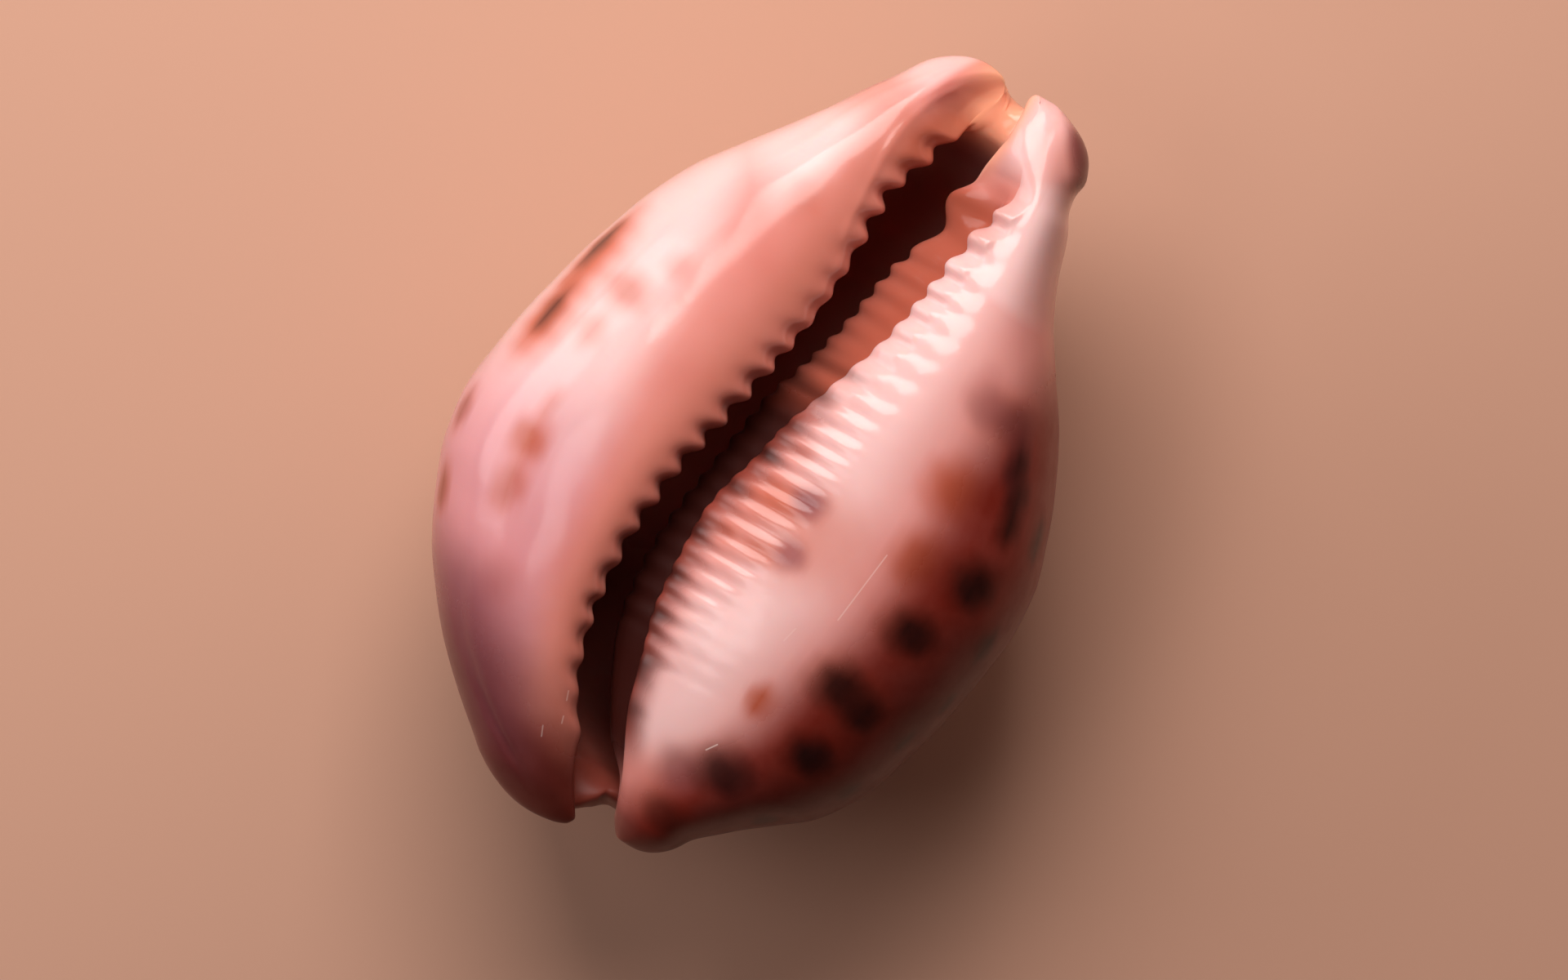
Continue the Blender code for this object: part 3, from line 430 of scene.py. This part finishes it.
# Tints laid over the ground colour from the bottom up, as (field, strength, screen colour, and for
# a cloudy tint the two noise values between which it thins and the share of it that is left).
TINTS = [
    # Whitish glaze, with painted highlights laid into the same tint.
    ("pale_and_highlight_zone", 0.88, (244, 206, 204), None),
    ("mauve_zone", 0.6, (212, 144, 156), None),
    ("back_zone", 1.0, (190, 140, 128), None),
    ("lip_zone", 1.0, (208, 124, 106), (0.1, 0.9, 0.75)),
    # Orange of the front canal, painted bright as painted light.
    ("canal_orange_and_light_zone", 0.85, (250, 174, 138), None),
    # Shelf brown, partly painted shade.
    ("shelf_brown_and_shade_zone", 0.9, (178, 88, 64), None),
    ("spot_warm", 0.85, (198, 86, 44), None),
    # Brown haze of the right flank, partly painted shade at the rear.
    ("haze_and_rear_shade_zone", 1.0, (124, 28, 13), (0.15, 0.85, 0.88)),
    ("spot_violet", 0.8, (138, 74, 86), None),
    # Dark spots, and the painted shade of the far flank and the rear.
    ("spots_and_painted_shade", 1.0, (30, 10, 9), (0.2, 0.75, 0.86)),
    ("depth_zone", 0.95, (226, 150, 138), None),
    # Rust, and painted shade in the rear canal.
    ("rust_and_canal_shade_zone", 0.9, (132, 48, 31), None),
    # Dark blotches, and a little painted shade in the rear canal.
    ("blotch_and_canal_shade_zone", 0.95, (44, 11, 8), None),
]
GROUND = ((230, 152, 142), (222, 134, 124))
SCRATCH_COLOUR = (255, 232, 224)
FLOOR_COLOUR = (208, 160, 136)
FLOOR_REACH = 1.5                   # metres from the middle to each side of the floor

# Lights, as (name, place in metres from the middle of the photo, size, power, colour).
LIGHTS = [
    ("key", (-0.03, 0.23, 0.31), (0.24, 0.24), 1.35, (1.0, 0.93, 0.9)),
    ("side", (-0.4, 0.2, 0.22), (0.36, 0.3), 0.96, (1.0, 0.97, 0.97)),
    ("fill", (0.2, 0.28, 0.2), (0.3, 0.3), 0.32, (1.0, 0.8, 0.72)),
    ("patch", (-0.2, 0.0, 0.5), (0.17, 0.12), 0.2, (1.0, 0.97, 0.97)),
]
LIGHT_AIM = (0.0, 0.0, 0.02)
WORLD_COLOUR = (1.0, 0.6, 0.5, 1.0)
WORLD_STRENGTH = 0.02


def bump(value, centre, width):
    """1 at the centre, falling off on both sides within about the width."""
    return np.exp(-((value - centre) / width) ** 2)


def step(value, low, high):
    """0 up to low, 1 from high on, and a soft rise between them."""
    t = np.clip((value - low) / (high - low), 0, 1)
    return t * t * (3 - 2 * t)


def within(y, low, high, soft):
    """1 between two stations, fading out over soft millimetres beyond them."""
    return step(y, low - soft, low) * (1 - step(y, high, high + soft))


def cover(field, amount):
    """A colour field with one more layer of it laid on top."""
    return 1 - (1 - field) * (1 - amount)


def unevenness(x, y, z):
    """Slow growth unevenness of the surface."""
    a = np.sin(0.21 * y + 0.6 * np.sin(0.17 * x) + 0.09 * z)
    b = np.sin(0.33 * x - 0.24 * y + 1.3) * np.sin(0.19 * z + 0.5)
    c = np.sin(0.71 * y + 0.35 * x + 2.1) * np.sin(0.47 * x - 0.3 * z)
    return 0.07 * a + 0.06 * b + 0.03 * c


def relief(grid, seg, place):
    """Height added along the normal of the outer skin, none where it folds inward."""
    x, y, z = grid[..., 0], grid[..., 1], grid[..., 2]
    tip = smooth(TIP_X, y)
    bevel = smooth(BEVEL_X, y)
    reach = within(y, 17, 38, 4)
    width = np.maximum(tip - bevel, BEVEL_MIN_WIDTH)
    inside = np.clip((x - (tip - width)) / width, 0, 1)
    height = BEVEL_HEIGHT * bump(x, bevel, 0.45) * reach
    height = height - BEVEL_DIP * step(x, bevel, bevel + 1.4) * (1 - inside) * reach
    flute = (1 - wave(TOOTH_Y, y)) / 2 * within(y, -33, 35.5, 1.5)
    height = height - FLUTE_DEPTH * flute * np.minimum(inside * 1.5, 1) ** 1.5
    height = np.where(seg == 0, height, 0.0)
    front = FRONT_CREASE_DEPTH * bump(x, smooth(FRONT_CREASE_X, y), 0.7) * within(y, 26, 39, 4)
    rear = REAR_CREASE_DEPTH * bump(x, smooth(REAR_CREASE_X, y), 0.55) * within(y, -38, -27, 4)
    height = height - (front + rear) * (z > 20) * (seg <= 1)
    calm = np.clip(z / CALM_LEVEL, 0, 1)
    fold = np.where(seg == 0, step(place, 0, 0.3), np.where(seg == 5, 1 - step(place, 0.4, 1), 1.0))
    return (height + (unevenness(x, y, z) - SKIN_INSET) * calm) * fold * (seg < 6)


def round_knob(grid, seg, place):
    """Evens out the crest of the right lip where it ends in the front knob."""
    reach = bump(seg + place, 5.0, 0.55) * step(grid[..., 1], 32.5, 36)
    for _ in range(KNOB_PASSES):
        around = (np.roll(grid, 1, axis=1) + np.roll(grid, -1, axis=1)) / 2
        grid = grid + 0.5 * reach[..., None] * (around - grid)
    return grid


def outward(grid):
    """Unit normals of the grid of the outer skin."""
    along = np.gradient(grid, axis=0)
    across = np.gradient(grid, axis=1)
    n = np.cross(across, along) * GRID_WAY
    size = np.linalg.norm(n, axis=-1, keepdims=True)
    return n / np.maximum(size, 1e-9)


class SkinPlaces:
    """Where the points of the skin lie, and the regions of it that the tints refer to."""

    def __init__(self, points, outer, seg, t):
        self.points = points
        self.outer, self.seg, self.t = outer, seg, t
        self.x, self.y, self.z = points.T
        crest = smooth(LEFT_CREST_X, self.y)
        self.from_crest = crest - self.x
        self.edge = smooth(EDGE_X, self.y)
        lip_width = np.maximum(smooth(TIP_X, self.y) - crest, 0.5)
        self.across_lip = (self.x - crest) / lip_width
        self.left_lip = outer & (seg <= 1) & (self.z > 15)
        self.right_lip = outer & (seg >= 4) & (seg <= 5)
        self.shoulder = outer & (self.x < 0) & (seg <= 2)
        self.shelf = (seg == 6) | (~outer & (seg == 5))
        self.shelf_rim = ~outer & (seg == 6)
        self.hollow = ~outer & (seg >= 1) & (seg <= 5)
        self.past_haze_border = self.x - smooth(HAZE_X, self.y)


def spot_distance(points, centre, wide, long):
    """Distance from a spot's centre, 1 at its half width and half length."""
    d = points - centre
    return np.sqrt((d[:, 0] ** 2 + d[:, 2] ** 2) / wide ** 2 + d[:, 1] ** 2 / long ** 2)


def photo_spots(at):
    """Darkness, warmth and violet of the spots listed from the photo."""
    x, y, z = at.x, at.y, at.z
    dark, warm, violet = np.zeros(len(x)), np.zeros(len(x)), np.zeros(len(x))
    upper = np.nonzero(at.outer & (z > SPOT_LEVEL))[0]
    for spot_x, spot_y, wide, long, darkness, warmth, tint in SPOTS:
        off = (x[upper] - spot_x) ** 2 + (y[upper] - spot_y) ** 2 - 0.004 * z[upper]
        centre = at.points[upper[np.argmin(off)]]
        q = spot_distance(at.points, centre, wide, long)
        q = q + 0.1 * np.sin(1.3 * x + 0.9 * y + spot_x) * np.sin(1.1 * y - 0.7 * z)
        core = (1 - step(q, 0.25, 1.55)) * at.outer
        halo = (1 - step(q, 0.3, 2.0)) * at.outer
        dark = cover(dark, darkness * core)
        warm = cover(warm, warmth * halo)
        violet = cover(violet, tint * core)
    return dark, warm, violet


def back_spots(at, dark, warm):
    """Adds the scattered spots of the back."""
    x, y, z = at.x, at.y, at.z
    rng = np.random.default_rng(BACK_SPOT_SEED)
    low = np.nonzero(at.outer & (z < BACK_SPOT_LEVEL))[0]
    chosen = []
    for pick in rng.permutation(low):
        place = at.points[pick]
        if all(np.linalg.norm(place - other) > BACK_SPOT_GAP for other in chosen):
            chosen.append(place)
        if len(chosen) >= BACK_SPOT_COUNT:
            break
    for centre in chosen:
        size = rng.uniform(*BACK_SPOT_SIZE)
        strength = rng.uniform(*BACK_SPOT_STRENGTH)
        q = spot_distance(at.points, centre, size, size * rng.uniform(*BACK_SPOT_STRETCH))
        q = q + 0.09 * np.sin(1.3 * x + 0.8 * y + size * 9) * np.sin(1.1 * y - 0.9 * z + size * 5)
        dark = cover(dark, strength * (1 - step(q, 0.45, 1.4)) * at.outer)
        warm = cover(warm, BACK_SPOT_WARMTH * strength * (1 - step(q, 0.7, 2.0)) * at.outer)
    return dark, warm


def lip_tint(at):
    """Salmon of the left lip's slope, strongest at its teeth."""
    start = -0.65 + 0.8 * step(at.y, 34, 38)
    lip = np.where(at.left_lip, step(at.across_lip - start, 0, 1.25), 0.0)
    return np.where(~at.outer & (at.seg == 0), 1.0, lip)


def knob_lip_tint(at, lip):
    """The same salmon, eased at the front tip and added on the side of the front knob."""
    lip = lip * (1 - 0.5 * step(at.y, 37, 41))
    side = step(at.x, 7.5, 12) * step(at.y, 33, 39) * step(at.z, 20, 34)
    return np.clip(np.maximum(lip, 0.75 * at.outer * (at.seg >= 4) * side), 0, 1)


def canal_orange_and_light_tint(at):
    """Orange of the front canal's floor, painted bright as painted light where that end is turned away
    from the lamps.
    """
    canal = step(at.y, 31, 37) * (1 - step(at.x, 4.2, 6)) * step(at.x, -3.5, 1.5) * step(at.z, 26, 33)
    return canal * np.where(at.right_lip, 1 - step(at.y, 33, 37), 1.0)


def depth_tint(at):
    """Plain tint of the hollow, fading out towards the light floor of the front canal."""
    under_lip = ~at.outer & (at.seg == 0)
    wall = ~at.outer & (at.seg >= 1) & (at.seg <= 4)
    depth = np.where(at.outer, 0.0, step(36.0 - at.z, 0.5, 9.0))
    depth = np.where(under_lip, step(at.t, 0.25, 0.9), depth)
    depth = np.maximum(depth, np.where(wall, 1.0, 0.0))
    return depth * (1 - step(at.y, 31.5, 35.5))


def wall_tints_and_canal_shade(at):
    """Dark blotches and rust on the wall inside the ridged edge, and painted shade on the rear canal in
    the same colours.
    """
    x, y = at.x, at.y
    wall = at.shelf | at.shelf_rim | (at.outer & (at.seg == 5))
    between = (1 - wave(RIDGE_Y, y)) / 2
    ragged_edge = at.edge + 0.5 * between + 0.5 * np.sin(1.9 * y + 0.8) * np.sin(0.83 * y)
    rust = within(y, -31, 3, 5) * wall * (1 - step(x, at.edge + 0.1, at.edge + 3.2 + 2.0 * between))
    blotch = np.zeros(len(x))
    for blotch_y, long, amount in WALL_BLOTCHES:
        patch = bump(y, blotch_y, long) * (1 - step(x, ragged_edge - 0.2, ragged_edge + 2.6))
        blotch = np.maximum(blotch, 0.9 * amount * patch)
    band = within(y, -33, 2, 6) * np.where(at.shelf | at.shelf_rim, 0.95, 0.0)
    blotch = np.maximum(blotch, band) * wall
    # Painted shade of the rear canal, laid on as rust and a little blotch.
    rear_canal_shade = at.hollow * (y < -32) * step(-y, 32, 36)
    blotch = np.maximum(blotch, 0.2 * rear_canal_shade)
    rust = np.maximum(rust, rear_canal_shade)
    rust = np.maximum(rust, 0.9 * at.hollow * step(-y, 8, 20))
    return blotch, rust


def shelf_brown_and_shade_tint(at):
    """Brown of the shelf inside the ridges, partly painted shade, with painted shade under the front lobes
    and on the front slope of the left lip.
    """
    x, y = at.x, at.y
    # Shelf brown, partly painted shade.
    shelf = within(y, 0, 31, 3) * at.shelf * step(34 - y, 0, 4)
    # Painted shadow under the overhanging front lobes.
    dip = 0.5 * bump(x, 5.8 + 0.25 * (y - 28), 2.6) * within(y, 28, 33, 3.5) * (at.z > 33)
    shelf = np.maximum(shelf, dip * ((at.seg >= 5) | at.shelf) * (y > 26))
    # Painted shade on the front slope of the left lip.
    slope = within(y, 31, 36.5, 3) * step(x - smooth(BEVEL_X, y), -1, 2.5) * at.left_lip
    return np.maximum(shelf, 0.8 * slope)


def haze_and_shade_tint(at, lip):
    """Brown haze of the right flank, brown and painted shade on the rear tips, and painted shade that
    darkens the far flank and the rear.
    """
    y, z = at.y, at.z
    flank = at.outer & (at.seg >= 3) & (at.x > 0)
    haze = flank * step(at.past_haze_border, -1, 6.5) * step(z, 7, 24)
    # The rear tips: brown, and partly painted shade where they turn away from the light.
    rear = at.outer * step(-y - 0.3 * at.x, 33, 40) * (z > 8)
    rear_left = at.outer * (at.seg <= 2) * step(-y - 0.35 * at.x, 27.5, 43)
    lip_hold = 0.75 - 0.6 * step(-y, 34, 38)
    haze = np.maximum(haze, 0.9 * rear)
    haze = np.maximum(haze, 0.95 * rear_left * (1 - lip_hold * np.clip(lip, 0, 1)))
    # Painted shade: darkens the far right flank and the rear.
    shade = 0.45 * haze * step(-y, -2, 12) * step(at.past_haze_border, 3, 12)
    shade = np.maximum(shade, 0.45 * np.maximum(rear, rear_left * (y < 0)))
    return haze, shade


def pale_and_highlight_tint(at):
    """Whitish areas, partly painted highlights: both shoulders of the left side, the ridged side, the neck
    and the knuckles, and a painted highlight on the ridged side towards the rear.
    """
    x, y, z = at.x, at.y, at.z
    # Left and front shoulders: whitish, with painted highlights where they catch the light.
    left = at.shoulder * (1 - step(x, -18.5, -12.5)) * step(y, -24, -4) * step(z, 20, 28)
    reach = 3.5 - 2.8 * step(y, 32, 37)
    front = (at.outer & (x < 0)) * step(y, 18, 26) * step(at.from_crest, -0.5, reach) * step(z, 22, 30)
    front = front * (1 - 0.8 * step(y, 30, 35) + 0.6 * step(y, 36, 39))
    # The ridged side: whitish, with a painted highlight on it.
    right = at.right_lip * within(y, -30, 44, 5) * bump(x, 7.5 - 3.5 * step(-y, 10, 28), 6.5)
    right = 0.9 * right * (1 - 0.3 * step(y, 34, 38))
    # The knuckles: a painted highlight along the front of the right crest.
    knuckles = at.right_lip * bump(x, 10.5, 5.5) * within(y, 24, 34.5, 3.5)
    neck = 0.8 * step(y, 32, 36.5) * step(x, 2.5, 7) * (1 - 0.7 * step(x, 7, 10)) * step(z, 27, 34)
    # A painted highlight on the ridged side towards the rear.
    rear = bump(x, 3.2, 4) * bump(y, -19, 7) * (at.outer & (at.seg >= 4))
    pale = np.maximum(left, front)
    for area in (right, knuckles, neck, rear):
        pale = np.maximum(pale, area)
    return pale


def shoulder_tints(at):
    """Bluish violet of the rear left shoulder, and mauve of the rest of that shoulder."""
    bluish = at.shoulder * within(at.y, -37, -28, 6) * step(at.z, 17, 23)
    bluish = bluish * bump(at.x - (smooth(LEFT_X, at.y) + 2), 1.5, 4.5)
    mauve = at.shoulder * step(-at.y, -2, 14) * (1 - step(at.across_lip, -1.2, 0.2)) * (at.z > 15)
    return bluish, mauve


def paint(points, outer, seg, t):
    """Named colour fields, one value from 0 to 1 per point of the skin."""
    at = SkinPlaces(points, outer, seg, t)
    dark, warm, violet = photo_spots(at)
    dark, warm = back_spots(at, dark, warm)
    lip = lip_tint(at)
    haze, shade = haze_and_shade_tint(at, lip)
    blotch, rust = wall_tints_and_canal_shade(at)
    bluish, mauve = shoulder_tints(at)
    knob = outer * step(at.x + 0.85 * at.y, 43.1, 45.8) * within(at.y, 35.5, 41, 1.5)
    knob = knob * step(at.x, 8, 11) * (at.z > 15)
    return {
        # Dark spots, with the painted shade of the far flank and the rear laid into the same field.
        "spots_and_painted_shade": cover(np.maximum(dark, shade), 0.3 * knob),
        "spot_warm": warm,
        "spot_violet": cover(cover(violet, 0.65 * bluish), 0.35 * knob),
        "back_zone": (1 - step(at.z, 8, 24)) * outer,
        "lip_zone": knob_lip_tint(at, lip),
        "canal_orange_and_light_zone": canal_orange_and_light_tint(at),
        "depth_zone": depth_tint(at),
        "blotch_and_canal_shade_zone": blotch,
        "rust_and_canal_shade_zone": rust,
        "shelf_brown_and_shade_zone": shelf_brown_and_shade_tint(at),
        # Brown haze, partly painted shade at the rear.
        "haze_and_rear_shade_zone": np.maximum(haze, 0.75 * knob),
        "pale_and_highlight_zone": pale_and_highlight_tint(at),
        "mauve_zone": mauve,
    }


def dressed_outer(outer, seg, place):
    """The outer half of the rings with the knob rounded and the fine relief added."""
    outer = round_knob(outer, seg, place)
    lift = relief(outer, seg, place)[..., None]
    ends = np.ones(outer.shape[0])
    ends[:END_STEPS] = np.linspace(0, 1, END_STEPS)
    ends[-END_STEPS:] = np.linspace(1, 0, END_STEPS)
    outer = outer + outward(outer) * lift * ends[:, None, None]
    outer[..., 2] = np.maximum(outer[..., 2], 0.0)
    return outer


def ring_faces(number):
    """Faces between neighbouring rings, with repeated corners dropped."""
    count, around = number.shape
    faces = []
    for i in range(count - 1):
        for j in range(around):
            k = (j + 1) % around
            corners = [int(c) for c in (number[i, j], number[i + 1, j], number[i + 1, k], number[i, k])]
            loop = [c for n, c in enumerate(corners) if c not in corners[:n]]
            if len(loop) > 2:
                faces.append(loop)
    return faces


def skin(name):
    """The whole skin of the shell as one object, with its colour fields."""
    outer, inner = rings()
    seg, place = (np.broadcast_to(row, outer.shape[:2]) for row in ring_columns())
    outer = dressed_outer(outer, seg, place)
    count, columns = outer.shape[:2]
    last = columns - 1
    around = 2 * last
    grid = np.concatenate([outer, inner[:, last - 1:0:-1]], axis=1)
    is_outer = np.zeros(grid.shape[:2], dtype=bool)
    is_outer[:, :columns] = True
    seg = np.concatenate([seg, seg[:, last - 1:0:-1]], axis=1)
    place = np.concatenate([place, place[:, last - 1:0:-1]], axis=1)
    # Both halves of the first and the last ring share their points, which closes the ends.
    index = np.arange(count * around).reshape(count, around)
    for i in (0, count - 1):
        for j in range(columns, around):
            index[i, j] = index[i, around - j]
    used = np.unique(index)
    renumber = np.full(count * around, -1)
    renumber[used] = np.arange(len(used))
    points = grid.reshape(-1, 3)[used]
    mesh = bpy.data.meshes.new(name)
    mesh.from_pydata((points * MM).tolist(), [], ring_faces(renumber[index]))
    mesh.validate()
    fields = paint(points, is_outer.reshape(-1)[used], seg.reshape(-1)[used], place.reshape(-1)[used])
    for key, values in fields.items():
        layer = mesh.attributes.new(key, "FLOAT", "POINT")
        layer.data.foreach_set("value", np.asarray(values, dtype=np.float32))
    mesh.shade_smooth()
    mesh.update()
    return linked(name, mesh)


def linked(name, data):
    """A new object with the given data, linked to the scene."""
    thing = bpy.data.objects.new(name, data)
    bpy.context.scene.collection.objects.link(thing)
    return thing


class Nodes:
    """Short helpers for building a node material."""

    def __init__(self, name):
        self.material = bpy.data.materials.new(name)
        self.material.use_nodes = True
        self.tree = self.material.node_tree
        self.shader = self.tree.nodes["Principled BSDF"]

    def add(self, kind, **values):
        node = self.tree.nodes.new(kind)
        for key, value in values.items():
            setattr(node, key, value)
        return node

    def link(self, source, target):
        self.tree.links.new(source, target)

    def feed(self, values, sockets):
        """Sets each socket to a plain value, or links it to another node's output."""
        for value, socket in zip(values, sockets):
            if isinstance(value, (tuple, float, int)):
                socket.default_value = value
            else:
                self.link(value, socket)

    def field(self, name):
        return self.add("ShaderNodeAttribute", attribute_name=name).outputs["Fac"]

    def mix(self, factor, below, above):
        node = self.add("ShaderNodeMix", data_type="RGBA")
        self.feed((factor, below, above), (node.inputs[0], node.inputs[6], node.inputs[7]))
        return node.outputs[2]

    def math(self, operation, *values):
        node = self.add("ShaderNodeMath", operation=operation)
        self.feed(values, node.inputs)
        return node.outputs[0]

    def vector(self, operation, *values):
        node = self.add("ShaderNodeVectorMath", operation=operation)
        self.feed(values, node.inputs)
        return node.outputs["Value" if operation in ("LENGTH", "DOT_PRODUCT") else "Vector"]

    def noise(self, scale, detail=3.0, rough=0.5):
        coords = self.add("ShaderNodeTexCoord").outputs["Object"]
        node = self.add("ShaderNodeTexNoise")
        node.inputs["Scale"].default_value = scale
        node.inputs["Detail"].default_value = detail
        node.inputs["Roughness"].default_value = rough
        self.link(coords, node.inputs["Vector"])
        return node.outputs["Fac"]

    def ramp(self, value, low, high, to_low=0.0, to_high=1.0):
        node = self.add("ShaderNodeMapRange", interpolation_type="SMOOTHSTEP")
        for socket, number in zip(node.inputs[1:5], (low, high, to_low, to_high)):
            socket.default_value = number
        self.link(value, node.inputs[0])
        return node.outputs[0]


def colour(screen):
    """Linear colour from the three 0 to 255 numbers of a screen colour."""
    out = []
    for v in screen:
        v = v / 255.0
        out.append(v / 12.92 if v <= 0.04045 else ((v + 0.055) / 1.055) ** 2.4)
    return (out[0], out[1], out[2], 1.0)


def scratch(n, place, x0, y0, x1, y1):
    """1 on a fine straight line between two places of the upper side, 0 beside it."""
    start = (x0 * MM, y0 * MM, 0)
    line = ((x1 - x0) * MM, (y1 - y0) * MM, 0)
    length = line[0] ** 2 + line[1] ** 2
    from_start = n.vector("SUBTRACT", place, start)
    share = n.math("DIVIDE", n.vector("DOT_PRODUCT", from_start, line), length)
    share = n.math("MINIMUM", n.math("MAXIMUM", share, 0.0), 1.0)
    along = n.add("ShaderNodeVectorMath", operation="SCALE")
    along.inputs[0].default_value = line
    n.link(share, along.inputs["Scale"])
    gap = n.vector("LENGTH", n.vector("SUBTRACT", from_start, along.outputs[0]))
    return n.ramp(gap, 0.3 * SCRATCH_WIDTH * MM, SCRATCH_WIDTH * MM, 1.0, 0.0)


def tinted(n, cloudy):
    """Base colour of the glaze: the ground with every tint and scratch laid over it."""
    base = n.mix(n.ramp(n.noise(55), 0.35, 0.7), colour(GROUND[0]), colour(GROUND[1]))
    for name, strength, tint, thinning in TINTS:
        if thinning is not None:
            low, high, left = thinning
            strength = n.ramp(cloudy, low, high, left, 1.0)
        base = n.mix(n.math("MULTIPLY", n.field(name), strength), base, colour(tint))
    place = n.add("ShaderNodeTexCoord").outputs["Object"]
    height = n.vector("DOT_PRODUCT", place, (0.0, 0.0, 1.0))
    flat_place = n.vector("MULTIPLY", place, (1.0, 1.0, 0.0))
    upper = n.ramp(height, SCRATCH_LEVEL[0] * MM, SCRATCH_LEVEL[1] * MM)
    for x0, y0, x1, y1, strength in SCRATCHES:
        mark = n.math("MULTIPLY", scratch(n, flat_place, x0, y0, x1, y1), strength)
        base = n.mix(n.math("MULTIPLY", mark, upper), base, colour(SCRATCH_COLOUR))
    return base


def glaze():
    """Polished glaze over the tints, a little duller where haze or rust lies."""
    n = Nodes("cowrie_glaze")
    n.link(tinted(n, n.noise(160, 4, 0.6)), n.shader.inputs["Base Color"])
    polish = n.ramp(n.noise(420, 4, 0.6), 0.3, 0.75, 0.12, 0.19)
    worn = n.math("MAXIMUM", n.field("haze_and_rear_shade_zone"), n.field("rust_and_canal_shade_zone"))
    polish = n.math("ADD", polish, n.math("MULTIPLY", worn, 0.22))
    n.link(polish, n.shader.inputs["Roughness"])
    n.shader.inputs["Specular IOR Level"].default_value = 0.38
    n.shader.inputs["Subsurface Weight"].default_value = 0.3
    n.shader.inputs["Subsurface Radius"].default_value = (1.0, 0.35, 0.2)
    n.shader.inputs["Subsurface Scale"].default_value = 2 * MM
    pits = n.add("ShaderNodeBump")
    pits.inputs["Strength"].default_value = 0.05
    pits.inputs["Distance"].default_value = 0.3 * MM
    n.link(n.noise(700, 3, 0.55), pits.inputs["Height"])
    n.link(pits.outputs[0], n.shader.inputs["Normal"])
    return n.material


def pale_floor():
    """Plain floor that the shell lies on."""
    r = FLOOR_REACH
    mesh = bpy.data.meshes.new("floor")
    mesh.from_pydata([(-r, -r, 0), (r, -r, 0), (r, r, 0), (-r, r, 0)], [], [(0, 1, 2, 3)])
    paper = Nodes("pale_floor")
    paper.shader.inputs["Base Color"].default_value = colour(FLOOR_COLOUR)
    paper.shader.inputs["Roughness"].default_value = 0.9
    mesh.materials.append(paper.material)
    return linked("floor", mesh)


def from_photo(across, upward, height):
    """A place given in metres right of, above and over the middle of the photo."""
    right = (math.cos(PHOTO_TURN), math.sin(PHOTO_TURN))
    up = (-right[1], right[0])
    x = PHOTO_CENTRE[0] * MM + right[0] * across + up[0] * upward
    y = PHOTO_CENTRE[1] * MM + right[1] * across + up[1] * upward
    return (x, y, height)


def area_light(name, place, size, power, tint):
    """Soft rectangular light that points at the shell."""
    data = bpy.data.lights.new(name, "AREA")
    data.shape = "RECTANGLE"
    data.size, data.size_y = size
    data.energy = power
    data.color = tint
    lamp = linked(name, data)
    lamp.location = place
    lamp.rotation_euler = (Vector(LIGHT_AIM) - Vector(place)).to_track_quat("-Z", "Y").to_euler()


def dim_world():
    """Faint warm light from all sides."""
    world = bpy.data.worlds.new("studio")
    bpy.context.scene.world = world
    world.use_nodes = True
    background = world.node_tree.nodes["Background"]
    background.inputs["Color"].default_value = WORLD_COLOUR
    background.inputs["Strength"].default_value = WORLD_STRENGTH


def photo_camera():
    """Camera that looks straight down, turned as the photo is."""
    data = bpy.data.cameras.new("camera")
    data.lens = LENS
    data.sensor_width = SENSOR
    camera = linked("camera", data)
    distance = LENS * PHOTO_WIDTH / SENSOR * MM
    camera.location = from_photo(0, 0, MARGIN_LEVEL * MM + distance)
    camera.rotation_euler = (0, 0, PHOTO_TURN)
    return camera


shell = skin("cowrie_skin")
shell.data.materials.append(glaze())
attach(shell, "root")
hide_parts("cowrie_shell")

floor = pale_floor()

for light_name, light_place, light_size, light_power, light_tint in LIGHTS:
    area_light(light_name, from_photo(*light_place), light_size, light_power, light_tint)
dim_world()
bpy.context.scene.camera = photo_camera()
bpy.context.scene.view_settings.view_transform = "Standard"
